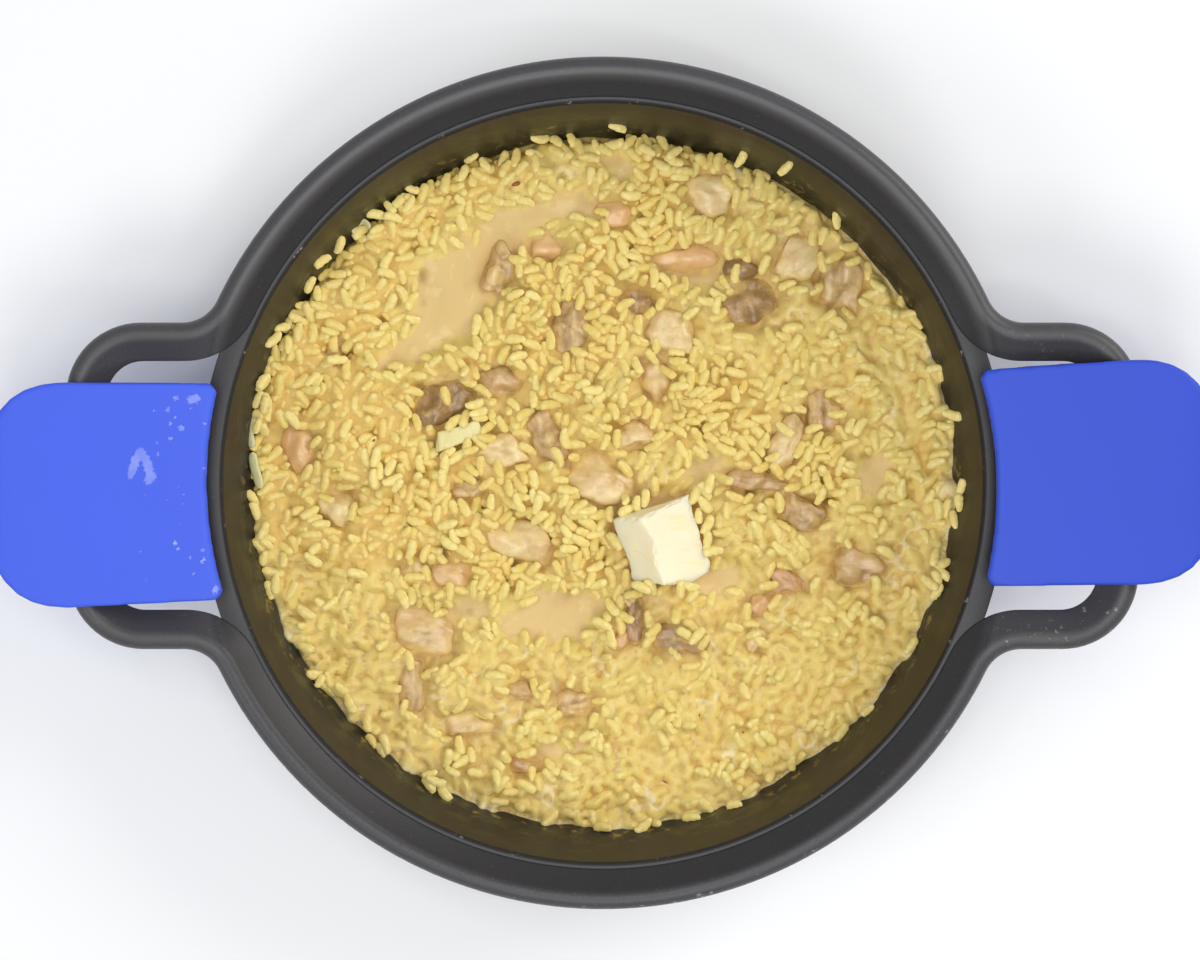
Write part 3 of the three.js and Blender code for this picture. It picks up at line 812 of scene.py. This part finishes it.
# ---------------------------------------------------------------- how the rice lies
# Short plump grains have fallen one on another round the meat: loose and heaped towards the
# back left, sunk in the sauce towards the front right, and none in a few pools of sauce.
LEVEL = 0.032  # of the food away from its heaps
RICE_DEPTH = 0.0045  # how far under that level the lowest grains lie
HEAPS = (  # x, y, height and reach of each heap, and of each pool
    (-0.030, 0.022, 0.0055, 0.034),
    (-0.105, 0.030, 0.0030, 0.038),
    (-0.084, 0.110, 0.0025, 0.022),
    (0.008, 0.104, 0.0025, 0.030),
    (0.078, 0.008, 0.0030, 0.038),
    (-0.048, -0.028, 0.0035, 0.022),
    (-0.060, 0.086, -0.0026, 0.024),
    (-0.026, -0.062, -0.0022, 0.022),
)
POOLS = (  # x, y, length, width and turn of each smooth pool of sauce
    (-0.064, 0.083, 0.031, 0.022, 60),
    (-0.040, 0.109, 0.027, 0.012, 24),
    (-0.084, 0.058, 0.018, 0.010, 15),
    (-0.023, -0.059, 0.033, 0.014, 9),
    (-0.058, -0.055, 0.012, 0.009, 0),
    (0.004, 0.137, 0.013, 0.007, -15),
    (0.045, 0.006, 0.013, 0.006, 20),
    (0.026, -0.008, 0.010, 0.005, 30),
    (0.040, 0.088, 0.014, 0.006, 10),
    (-0.076, -0.060, 0.014, 0.013, 0),
    (-0.020, -0.118, 0.018, 0.006, 8),
    (0.118, 0.004, 0.016, 0.008, 70),
    (0.050, -0.044, 0.013, 0.009, 0),
    (-0.012, 0.120, 0.018, 0.008, -5),
)
DRY = (  # x, y and reach of each place where the grains lie loose and uncoated
    (-0.110, 0.070, 0.040),
    (-0.070, 0.125, 0.030),
    (-0.125, 0.010, 0.030),
    (-0.105, 0.000, 0.025),
    (-0.030, 0.046, 0.032),
    (-0.070, -0.010, 0.035),
    (-0.050, -0.037, 0.024),
    (-0.012, 0.080, 0.026),
    (0.018, 0.132, 0.020),
    (0.020, 0.102, 0.014),
    (0.070, 0.010, 0.026),
    (0.113, 0.000, 0.022),
    (0.040, 0.036, 0.020),
    (-0.010, -0.030, 0.022),
)
STRAYS = (  # x, y and turn of single grains stuck to the wall round the edge
    (0.0772, 0.1336, 50),
    (0.0591, 0.1388, 60),
    (0.1535, -0.0022, 80),
    (0.1527, -0.0085, 100),
    (0.1336, -0.0710, 55),
    (-0.1450, 0.0333, 80),
    (-0.1500, -0.0122, 110),
    (-0.1466, -0.0209, 70),
    (-0.1309, 0.0648, 85),
    (-0.1353, 0.0592, 95),
    (-0.1260, 0.0850, 60),
    (-0.1199, 0.0950, 40),
    (-0.1130, 0.1020, 70),
)
BACK_EDGE = 0.1450  # radius from which the food falls away at the back
CELL = 0.0005  # of the height grids that the food is laid in
HALF = 0.158  # half the width of those grids
FOOD_EDGE = 0.1516  # radius of the food where it meets the wall, at its usual level
BUTTER_AT = (0.025, -0.024, 1.0, 0.024)  # where no grains lie, under the butter
GRAIN_LENGTH, GRAIN_WIDTH, GRAIN_DEPTH = 0.0086, 0.0043, 0.0037
SINK = 0.0017  # how far a soft grain settles into those under it
STRAY_SINK = 0.0005
GRAIN_REACH = 0.1538  # no grain's middle lies farther out
GRAIN_NEAR = 0.0015  # how far round a spot its height is taken
YAWS = 24
PITCHES = (-0.4, -0.2, 0.0, 0.2, 0.4, -0.8, 0.8, -1.15, 1.15)
LYING = range(5)  # the pitches of grains that lie down
SIZES = (0.86, 1.0, 1.12)

cells = int(2 * HALF / CELL) + 1
axis = -HALF + CELL * np.arange(cells)
X, Y = np.meshgrid(axis, axis, indexing="ij")
R = np.hypot(X, Y)
spots = np.stack([X.ravel(), Y.ravel(), 0 * X.ravel()], axis=1)


def field(length, count):
    """Smooth uneven values over the grid, about -1 to 1, with bumps about length apart."""
    return waves(spots, length, count, rng).reshape(X.shape)


def bumps(x, y, places):
    total = np.zeros_like(x)
    for place_x, place_y, height, reach in places:
        total += height * np.exp(-((x - place_x) ** 2 + (y - place_y) ** 2) / reach**2)
    return total


def ovals(x, y, places):
    """1 in the middle of each oval place, falling to 0 just past its edge."""
    best = np.zeros_like(x)
    for place_x, place_y, length, width, turn in places:
        u, v = own_axes(x, y, place_x, place_y, turn)
        best = np.maximum(best, unit(2.2 * (1.15 - np.hypot(u / length, v / width))))
    return best


def blurred(grid, width):
    """The grid smoothed by three box filters each way, each reaching width cells."""
    for _ in range(3):
        for _ in range(2):
            total = np.cumsum(np.pad(grid, ((width + 1, width), (0, 0)), mode="edge"), axis=0)
            grid = ((total[2 * width + 1 :] - total[: -2 * width - 1]) / (2 * width + 1)).T
    return grid


rng = np.random.default_rng(11)
uneven = field(0.035, 10)
patchy = field(0.018, 12)
ripple = field(0.012, 12)
clumps = field(0.020, 12)
brim = 0.0045 * unit((R - 0.140) / 0.012) ** 2 * (X / (R + 0.001)) ** 2  # at the left and right
dryness = unit(bumps(X, Y, [(x, y, 1.0, reach) for x, y, reach in DRY]))
surface = LEVEL + bumps(X, Y, HEAPS) + 0.0008 * uneven + brim
at_back = unit(1.8 * Y / (R + 0.001) - 0.7)  # where the food has drawn away from the wall
surface -= 0.009 * at_back * unit((R - BACK_EDGE - 0.0012 * patchy) / 0.0050) ** 1.3
surface += dryness * (0.0016 * np.clip(clumps, -1.5, 1.5) + 0.0005 * ripple)
holes = unit(2.4 * (field(0.009, 14) - 0.35 * clumps - 1.0))
holes *= unit(3 * dryness - 1.2)
pool = ovals(X + 0.002 * ripple, Y + 0.002 * patchy, POOLS)
wet = unit(0.80 + 0.20 * patchy - 0.22 * clumps + 0.9 * (X - Y) - 0.80 * dryness)
wet = np.maximum(wet, unit(1.6 * blurred(pool, 5)))

wall_height = LEDGE - (MOUTH - R + 0.0006) / math.tan(LEAN)
ground = np.maximum(surface - RICE_DEPTH + 0.0008 * ripple - 0.003 * holes, wall_height)
solids = np.full(X.shape, -1.0)  # the tops of the meat, the butter and the onion


def press_in(piece):
    """Raises the solids' grid to the top of a piece."""
    points = vertex_array(piece.data)
    tree = solid_tree(piece.data)
    low = np.maximum(((points.min(axis=0)[:2] + HALF) / CELL).astype(int), 0)
    high = ((points.max(axis=0)[:2] + HALF) / CELL).astype(int) + 2
    for i in range(low[0], high[0]):
        for j in range(low[1], high[1]):
            hit = tree.ray_cast((axis[i], axis[j], 0.1), (0, 0, -1))[0]
            if hit is not None:
                solids[i, j] = max(solids[i, j], hit.z)


for chunk in chunks:
    press_in(chunk)
meat = solids.copy()
press_in(butter)
press_in(onion)
# the rice is pressed down round meat that it would cover
bared = np.where(solids > 0, np.clip(surface + 0.0014 - solids, 0, 0.003), 0)
surface -= np.minimum(3 * blurred(bared, 4), 0.003)
ground -= np.minimum(3 * blurred(bared, 4), 0.003)
round_meat = unit(3.0 * blurred((solids > surface).astype(float), 6))
wet = np.maximum(wet, 0.8 * round_meat * unit(0.7 + 0.6 * patchy))
pile = np.maximum(ground, solids)
rice_top = ground.copy()


def grain_size(size):
    return np.array([GRAIN_LENGTH * size, GRAIN_WIDTH * size**0.6, GRAIN_DEPTH * size**0.6])


def grain_print(size, yaw, pitch):
    """The cells a grain covers, and the heights of its underside and top above its middle."""
    a, b, c = grain_size(size) / 2
    span = int(a / CELL) + 2
    i, j = np.meshgrid(range(-span, span + 1), range(-span, span + 1), indexing="ij")
    u = (i * math.cos(yaw) + j * math.sin(yaw)) * CELL
    v = (j * math.cos(yaw) - i * math.sin(yaw)) * CELL
    sine, cosine = math.sin(pitch), math.cos(pitch)
    square = sine**2 / a**2 + cosine**2 / c**2
    linear = u * sine * cosine * (1 / a**2 - 1 / c**2)
    rest = u**2 * (cosine**2 / a**2 + sine**2 / c**2) + v**2 / b**2 - 1
    inside = linear**2 - square * rest
    keep = inside > 0
    half = np.sqrt(inside[keep]) / square
    middle = -linear[keep] / square
    return i[keep], j[keep], middle - half, middle + half


prints = {
    (s, yaw, p): grain_print(SIZES[s], math.pi * yaw / YAWS, PITCHES[p])
    for s in range(len(SIZES))
    for yaw in range(YAWS)
    for p in range(len(PITCHES))
}


def lay(x, y, size, sink, turns, tilts):
    """Lays a grain at a place, turned and tilted so as to lie deepest there."""
    i0, j0, best = int((x + HALF) / CELL), int((y + HALF) / CELL), None
    for yaw in turns:
        for p in tilts:
            cell_i, cell_j, under, top = prints[size, yaw, p]
            height = (pile[i0 + cell_i, j0 + cell_j] - under).max()
            if best is None or height < best[0]:
                best = (height, yaw, p, i0 + cell_i, j0 + cell_j, top)
    height, yaw, p, cell_i, cell_j, top = best
    height -= sink
    pile[cell_i, cell_j] = np.maximum(pile[cell_i, cell_j], height + top)
    free = solids[cell_i, cell_j] < height
    cell_i, cell_j, top = cell_i[free], cell_j[free], top[free]
    rice_top[cell_i, cell_j] = np.maximum(rice_top[cell_i, cell_j], height + top)
    grains.append((x, y, height, SIZES[size], math.pi * yaw / YAWS, PITCHES[p]))
    skins.append((cell_i, cell_j, height + top))


def scatter(count, tries, keep_out, steep, near=0.0):
    """Lays grains, each in the lowest of many places picked at random; steep is the share that
    stand on end, and near keeps them outside a radius."""
    step = int(GRAIN_NEAR / CELL)
    for _ in range(count):
        radius = np.sqrt(near**2 + (GRAIN_REACH**2 - near**2) * rng.random(tries))
        angle = 2 * math.pi * rng.random(tries)
        x, y = radius * np.cos(angle), radius * np.sin(angle)
        i, j = ((x + HALF) / CELL).astype(int), ((y + HALF) / CELL).astype(int)
        around = pile[i, j] + pile[i - step, j] + pile[i + step, j] + pile[i, j - step] + pile[i, j + step]
        filled = around / 5 - surface[i, j] + np.where(rng.random(tries) < keep_out[i, j], 1.0, 0.0)
        spot = int(np.argmin(filled))
        if filled[spot] > 0.5:  # all the places tried have to stay free
            continue
        upright = rng.random() < steep
        tilts = [int(rng.integers(len(LYING), len(PITCHES)))] if upright else LYING
        size = int(rng.integers(len(SIZES)))
        lay(x[spot], y[spot], size, SINK, rng.integers(YAWS, size=4).tolist(), tilts)


grains, skins = [], []
on_meat = 0.93 * unit(7 * blurred((solids > surface + 0.0003).astype(float), 3))
under_butter = unit(2.4 * bumps(X, Y, [BUTTER_AT]) - 0.6)
# how likely each spot is to stay free of grains
taken = np.maximum.reduce([pool, on_meat, 0.92 * holes, under_butter])
at_wall = (R > 0.1490 - 0.002 * at_back) * unit(0.35 + 0.6 * patchy + 0.6 * wet + 0.5 * at_back)
taken = np.maximum(taken, at_wall)
scatter(4300, tries=24, keep_out=taken, steep=0.06)
scatter(1300, tries=36, keep_out=np.maximum(taken, 0.97 * wet), steep=0.12)  # the dry heaps
sticking = np.maximum(0.9 * wet, 0.5 - 0.5 * patchy)
scatter(30, tries=3, keep_out=sticking, steep=0.2, near=0.1495)  # against the wall
by_meat = blurred((meat > surface + 0.0003).astype(float), 3)
off_edges = np.where((by_meat > 0.3) & (by_meat < 0.9), 0.0, 1.0)
scatter(520, tries=1, keep_out=off_edges, steep=0.0)  # over the chunks' edges
for x, y, turn in STRAYS:
    lay(x, y, 1, STRAY_SINK, [int(turn * YAWS / 180) % YAWS], LYING)

# ---------------------------------------------------------------- the sauce
# Creamy saffron sauce, thick with starch and butter. It fills between the grains, drapes over
# those that are sunk in it, lies smooth in the pools and has a frothy line round the wall.
NET_SIDE = 304
NET_SKEW = 0.18  # makes the net finer at the front right, where the sauce shows most
LOWEST = FLOOR + 0.0004
MEAT_SOAK, GRAIN_SOAK = 0.0026, 0.001  # how far the sauce's coat climbs each
SKIRT = ((0.020, 0.0001), (0.015, -0.0010), (0.010, -0.0045), (LOWEST, -0.012))  # heights and insets

tops = np.where(solids > ground, np.maximum(rice_top, np.minimum(solids, surface + 0.0006)), rice_top)
tops = np.minimum(tops, surface + 0.0042)
even = blurred(tops, 5)
close = blurred(tops, 1)
soft = blurred(tops, 2)
damp = unit(blurred(wet, 6))
standing = unit(-0.08 + 0.42 * clumps + 0.25 * patchy + 0.5 * (0.8 - damp))
film = 0.0007 - 0.0015 * standing  # over the sunk grains; below 0 they stand out of it
follow = np.clip(0.80 + 0.14 * uneven, 0.5, 1.0)  # how closely it drapes over single grains
# low between the grains where the food is dry, draped over them where it is damp
sauce = (1 - damp) * (0.4 * even + 0.6 * close - 0.0008 + 0.0008 * unit(-X / 0.08))
sauce += damp * (follow * (0.45 * soft + 0.55 * close) + (1 - follow) * even + film)
# sunk in the holes, level in the pools, and short of the wall where the food is dry
sauce -= 0.003 * blurred(holes, 2)
sauce += (surface - 0.0004 - sauce) * blurred(pool, 3) ** 1.5
sauce -= 0.007 * (1 - damp) * unit((R - 0.1455) / 0.006) ** 1.5
# along the wall it creeps up at the front and sides and has drawn down at the back
sauce += 0.0010 * damp * (1 - at_back) * unit((R - 0.1500) / 0.0020) ** 2
sauce -= 0.002 * at_back * damp * unit((R - 0.1480) / 0.003)
sauce += 0.00012 * ripple * damp
# never over the meat, the butter or the onion
sauce = np.minimum(sauce, np.where(solids > surface + 0.0005, solids - 0.0003, 1.0))
stained = unit(2.5 * blurred((solids > surface).astype(float), 10))


def read(grid, x, y):
    """The grid's value at places between its cells."""
    u = np.clip((x + HALF) / CELL, 0, cells - 1.001)
    v = np.clip((y + HALF) / CELL, 0, cells - 1.001)
    i, j = u.astype(int), v.astype(int)
    a, b = u - i, v - j
    near = grid[i, j] * (1 - b) + grid[i, j + 1] * b
    far = grid[i + 1, j] * (1 - b) + grid[i + 1, j + 1] * b
    return near * (1 - a) + far * a


def sauce_body(material):
    """The surface as a fine net over the round pan, closed down the wall and the floor."""
    line = np.linspace(-1, 1, NET_SIDE + 1)
    finer = NET_SKEW * (1 - line**2)
    a, b = np.meshgrid(line + finer, line - finer, indexing="ij")
    wide = np.abs(a) > np.abs(b)
    first, second = np.where(wide, a, b), np.where(wide, b, a)
    angle = math.pi / 4 * second / np.where(first == 0, 1, first)
    angle = np.where(wide, angle, math.pi / 2 - angle)
    x, y = first * np.cos(angle), first * np.sin(angle)
    radius = np.hypot(x, y)
    z = read(sauce, x * FOOD_EDGE, y * FOOD_EDGE)
    at_wall = MOUTH - (LEDGE - z) * math.tan(LEAN)
    reach = FOOD_EDGE + (at_wall + 0.0001 - FOOD_EDGE) * unit((radius - 0.9) / 0.1)
    x, y = x * reach, y * reach
    points = np.stack([x.ravel(), y.ravel(), z.ravel()], axis=1)
    index = np.arange(len(points)).reshape(NET_SIDE + 1, NET_SIDE + 1)
    quads = np.stack([index[:-1, :-1], index[1:, :-1], index[1:, 1:], index[:-1, 1:]], axis=-1)
    edge = np.concatenate([index[:-1, 0], index[-1, :-1], index[:0:-1, -1], index[0, :0:-1]])
    rim = points[edge]
    faces, rings, start, previous = quads.reshape(-1, 4).tolist(), [], len(points), edge
    for height, inset in SKIRT:
        ratio = (inside_radius(height) + inset) / np.hypot(rim[:, 0], rim[:, 1])
        ring = np.stack([rim[:, 0] * ratio, rim[:, 1] * ratio, np.full(len(rim), height)], axis=1)
        current = np.arange(start, start + len(ring))
        faces += np.stack([previous, current, np.roll(current, -1), np.roll(previous, -1)], axis=1).tolist()
        rings.append(ring)
        previous, start = current, start + len(ring)
    points = np.concatenate([points, *rings, [(0, 0, LOWEST)]])
    faces += [(start, int(b), int(a)) for a, b in zip(previous, np.roll(previous, -1))]
    piece = mesh_object("risotto_sauce", points.tolist(), faces, material)
    x, y, z = points.T
    wetness = read(damp, x, y)
    kept_values = {
        "cover": np.clip((read(rice_top, x, y) - z) / 0.001, -3, 3),
        "wetness": wetness,
        "froth": unit((np.hypot(x, y) - 0.1485) / 0.003) * wetness,
        "calm": read(blurred(pool, 2), x, y),
        "stain": read(stained, x, y),
        "cavity": read(blurred(holes, 1), x, y),
    }
    for name, values in kept_values.items():
        add_values(piece.data, name, values)
    return piece


sauce_look, shader, place = new_surface("saffron_sauce", gloss=0.28, soft=(0.5, 0.002, (1.0, 0.9, 0.75)))
wetness, calm, froth = place.kept("wetness"), place.kept("calm"), place.kept("froth")
clouds = place.noise(0.02, detail=4)
fine = place.noise(0.0014, detail=3)
# pale wisps of froth, which also stand in as painted glints
wisps = place.warped(0.010, 0.008).noise(0.009, detail=4, roughness=0.6, seed=9.0)
curls = place.warped(0.012, 0.008).noise(0.015, detail=1, seed=11.0)
# thin pale curls on the damp sauce: froth lines and painted glints
froth_and_glints = abs(curls - 0.5).step(0.030, 0.006) * place.noise(0.02, detail=2, seed=12.0).step(0.46, 0.60)
froth_and_glints = froth_and_glints * wetness.step(0.55, 0.9) * calm.step(0.3, 0.0)
from_left = place.parts()[0].step(0.02, -0.08)
colour = painted(
    clouds.step(0.35, 0.65).blend((0.61, 0.395, 0.10), (0.71, 0.485, 0.155)),
    # the pools painted paler: their own creamier colour, and a painted sheen
    (calm, 0.8, (0.73, 0.54, 0.25)),
    (wisps.step(0.52, 0.66), 0.4, (0.84, 0.67, 0.36)),
    (place.kept("cover").step(-1.3, -0.45), 0.85, (0.77, 0.60, 0.19)),
    (froth_and_glints, 0.5, (0.90, 0.80, 0.56)),
    # the sauce between the dry grains: its own deeper amber, and painted darker as shade between the
    # grains, less so towards the left
    (wetness.step(0.6, 0.2), 0.75, from_left.blend((0.54, 0.325, 0.075), (0.72, 0.475, 0.135))),
    (place.kept("stain") * clouds.step(0.25, 0.55), 0.6, (0.58, 0.38, 0.15)),
    # painted shade: the holes in the dry rice are painted dark brown
    (place.kept("cavity"), 0.8, (0.36, 0.20, 0.05)),
    (froth * fine.step(0.35, 0.6), 0.7, (0.82, 0.74, 0.46)),
)
feed(
    shader,
    Base_Color=colour,
    Roughness=0.20 + 0.14 * clouds + 0.18 * wetness.step(0.6, 0.2) + 0.30 * calm,
    relief=0.00012 * froth_and_glints + 0.00006 * fine * (1 + 3 * froth) + 0.00025 * place.noise(0.005, detail=2),
)
sauce_piece = sauce_body(sauce_look)
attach(sauce_piece, "root")
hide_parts("risotto")


def add_soak(piece, points, depth):
    """How far each point stands out of the sauce: 0 at the sauce, 1 at depth above it."""
    clear = (points[:, 2] - read(sauce, points[:, 0], points[:, 1])) / depth
    add_values(piece.data, "soak", np.clip(clear, -1, 3))


for chunk in chunks:
    add_soak(chunk, vertex_array(chunk.data), MEAT_SOAK)

# ---------------------------------------------------------------- the saffron
# Dark red scraps of the dried threads that dyed the rice. They lie flat on the sauce and on
# single grains.
SAFFRON = (  # x, y, length, width and turn of each scrap of saffron on the food
    (-0.0375, 0.1285, 0.0042, 0.0018, 20),
    (0.0610, -0.1091, 0.0011, 0.0009, 0),
    (0.0271, -0.1315, 0.0030, 0.0008, -30),
    (0.0792, 0.0424, 0.0020, 0.0012, 60),
    (-0.0990, 0.0180, 0.0016, 0.0009, 45),
    (0.0420, -0.1020, 0.0014, 0.0007, 80),
)
saffron_look, shader, place = new_surface("saffron_scrap")
mottled = place.noise(0.0008, detail=2)
feed(
    shader,
    Base_Color=mottled.blend((0.16, 0.035, 0.01), (0.42, 0.13, 0.03)),
    Roughness=0.3 + 0.2 * mottled,
)
for number, (x, y, length, width, turn) in enumerate(SAFFRON):
    lid = max(read(rice_top, x, y), read(sauce, x, y)) + 0.0001
    speck = pebble(f"saffron_{number + 1}", 3, (x, y, lid), length, width, turn, 0.5, saffron_look)
    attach(speck, "root")

# ---------------------------------------------------------------- the grains of rice
# Each grain is a plump oval, a little bent, blunter at one end. Saffron has dyed them yellow;
# their tips are painted paler as highlights, and grains that lie high are painted lighter as
# painted light. Where they are sunk the sauce coats their lower sides, which carry a painted
# amber emission.
GRAIN_AROUND, GRAIN_RINGS = 7, 8
GRAIN_SHAPES = 10
FIRST_SHAPE_SEED = 100
GRAIN_SOFTNESS = 0.65  # turns the grains' normals up, as light passing through them does


def grain_shape(kind):
    """A unit grain along X, and its faces; kinds differ a little."""
    shape_rng = np.random.default_rng(FIRST_SHAPE_SEED + kind)
    bend, notch = shape_rng.uniform(0.0, 0.26), shape_rng.uniform(0, 0.18)
    blunt, full = shape_rng.uniform(0.70, 1.34), shape_rng.uniform(0.46, 0.74)
    points = [(-0.5, 0, 0)]
    for ring in range(1, GRAIN_RINGS):
        t = ring / GRAIN_RINGS
        across = 0.5 * math.sin(math.pi * t**blunt) ** full
        middle = bend * (math.sin(math.pi * t) - 0.6)
        for k in range(GRAIN_AROUND):
            a = 2 * math.pi * (k + 0.5 * (ring % 2)) / GRAIN_AROUND
            lump = 1 + 0.08 * shape_rng.uniform(-1, 1) - (notch if math.cos(a) > 0.8 else 0)
            height = across * lump * math.sin(a)
            points.append((-0.5 * math.cos(math.pi * t), middle + across * lump * math.cos(a), height))
    points.append((0.5, -0.6 * bend, 0))
    faces = []
    last = len(points) - 1
    for k in range(GRAIN_AROUND):
        following = (k + 1) % GRAIN_AROUND
        faces.append((0, 1 + following, 1 + k))
        for ring in range(GRAIN_RINGS - 2):
            a, b = 1 + ring * GRAIN_AROUND + k, 1 + ring * GRAIN_AROUND + following
            faces += [(a, b, a + GRAIN_AROUND), (b, b + GRAIN_AROUND, a + GRAIN_AROUND)]
        start = 1 + (GRAIN_RINGS - 2) * GRAIN_AROUND
        faces.append((last, start + k, start + following))
    return np.array(points), np.array(faces)


GRAIN_KINDS = [grain_shape(kind) for kind in range(GRAIN_SHAPES)]


def grain_mesh(name, grains, material, seed):
    """One mesh of many grains; each vertex keeps its grain's tone and its place along it."""
    pick = np.random.default_rng(seed)
    points, faces, tones, ends = [], [], [], []
    count = 0
    for x, y, z, size, yaw, pitch in grains:
        shape, shape_faces = GRAIN_KINDS[pick.integers(len(GRAIN_KINDS))]
        local = shape * grain_size(size)
        if pick.random() < 0.5:
            local = local * (-1, -1, 1)
        roll = pick.uniform(-0.5, 0.5)
        cr, sr, cp, sp, cy, sy = (f(a) for a in (roll, pitch, yaw) for f in (math.cos, math.sin))
        turn_x = np.array([[1, 0, 0], [0, cr, -sr], [0, sr, cr]])
        turn_y = np.array([[cp, 0, -sp], [0, 1, 0], [sp, 0, cp]])
        turn_z = np.array([[cy, -sy, 0], [sy, cy, 0], [0, 0, 1]])
        points.append(local @ (turn_z @ turn_y @ turn_x).T + (x, y, z))
        faces.append(shape_faces + count)
        count += len(shape)
        # grains that lie high are painted lighter as painted light falling on the tops, and those beside
        # the meat are stained
        height_light = (z - read(even, x, y)) / 0.006
        tone = 0.18 + 0.6 * pick.random() + height_light - 0.4 * read(stained, x, y)
        tones.append(np.full(len(shape), min(1.0, max(0.0, tone))))
        ends.append(2 * shape[:, 0])
    points = np.concatenate(points)
    piece = mesh_object(name, points.tolist(), np.concatenate(faces).tolist(), material)
    soft = vertex_array(piece.data, "normal") + (0, 0, GRAIN_SOFTNESS)
    soft /= np.linalg.norm(soft, axis=1)[:, None]
    piece.data.normals_split_custom_set_from_vertices(soft.tolist())
    add_values(piece.data, "tone", np.concatenate(tones))
    add_values(piece.data, "along", np.concatenate(ends))
    add_soak(piece, points, GRAIN_SOAK)
    return piece


def grain_surface(name, dull, sauced, sauce_colour, painted_glow):
    """The look of grains: sauced is how much sauce lies on them, painted_glow the strength of an amber
    emission painted on their sunk parts, as painted light for light passing through them.
    """
    material, shader, place = new_surface(
        name, gloss=0.4, soft=(0.3, 0.001, (1.0, 0.95, 0.9)), Emission_Strength=1.0
    )
    tone, blotch = place.kept("tone"), place.noise(0.0022, detail=2)
    odd = tone.math("FRACT", tone * 7.3)  # picks out every few grains
    sunk = (place.kept("soak") + 0.7 * blotch).step(1.3, 0.2)
    colour = painted(
        tone.blend((0.75, 0.565, 0.15), (0.84, 0.69, 0.245)),
        # painted highlights: the grains' tips are painted paler
        (abs(place.kept("along")).step(0.45, 0.95), 0.25, (0.86, 0.74, 0.33)),
        (odd.step(0.75, 1.0), 0.35, (0.72, 0.50, 0.11)),
        (sunk.either(sauced * blotch.step(0.35, 0.60)), 0.8, sauce_colour),
    )
    feed(
        shader,
        Base_Color=colour,
        Roughness=dull - 0.12 * blotch,
        # painted light: an amber emission on the sunk parts, standing in for light passing through the
        # grains
        Emission_Color=(sunk * painted_glow).blend((0.0, 0.0, 0.0), (0.05, 0.022, 0.004)),
        relief=0.00012 * blotch,
    )
    return material


HEAPED_SPLIT_Y = 0.03
SAUCED_SPLIT_X = 0.03
LEAST_SHOWN = 4  # cells of a grain that must be in sight for it to be made
LEAST_CLEAR = 50  # cells that must stand out of the sauce where the food is damp
kinds = {
    "heaped_grains_back": [],
    "heaped_grains_front": [],
    "sauced_grains_left": [],
    "sauced_grains_right": [],
}
for grain, (cell_i, cell_j, top) in zip(grains, skins):
    shown = top > np.maximum(rice_top[cell_i, cell_j] - 0.0004, sauce[cell_i, cell_j])
    x, y = grain[:2]
    dampness = read(damp, x, y)
    clear = top > sauce[cell_i, cell_j] + 0.00025
    if shown.sum() < LEAST_SHOWN or (dampness > 0.3 and (shown & clear).sum() < LEAST_CLEAR):
        continue
    if dampness < 0.45:
        kinds["heaped_grains_back" if y > HEAPED_SPLIT_Y else "heaped_grains_front"].append(grain)
    else:
        kinds["sauced_grains_left" if x < SAUCED_SPLIT_X else "sauced_grains_right"].append(grain)
loose_rice = grain_surface(
    "loose_rice", dull=0.35, sauced=0.2, sauce_colour=(0.73, 0.51, 0.15), painted_glow=1.0
)
sauced_rice = grain_surface(
    "sauced_rice", dull=0.27, sauced=0.75, sauce_colour=(0.76, 0.59, 0.19), painted_glow=0.4
)
for seed, (name, members) in enumerate(kinds.items()):
    piece = grain_mesh(name, members, loose_rice if name.startswith("heaped") else sauced_rice, seed)
    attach(piece, "root")
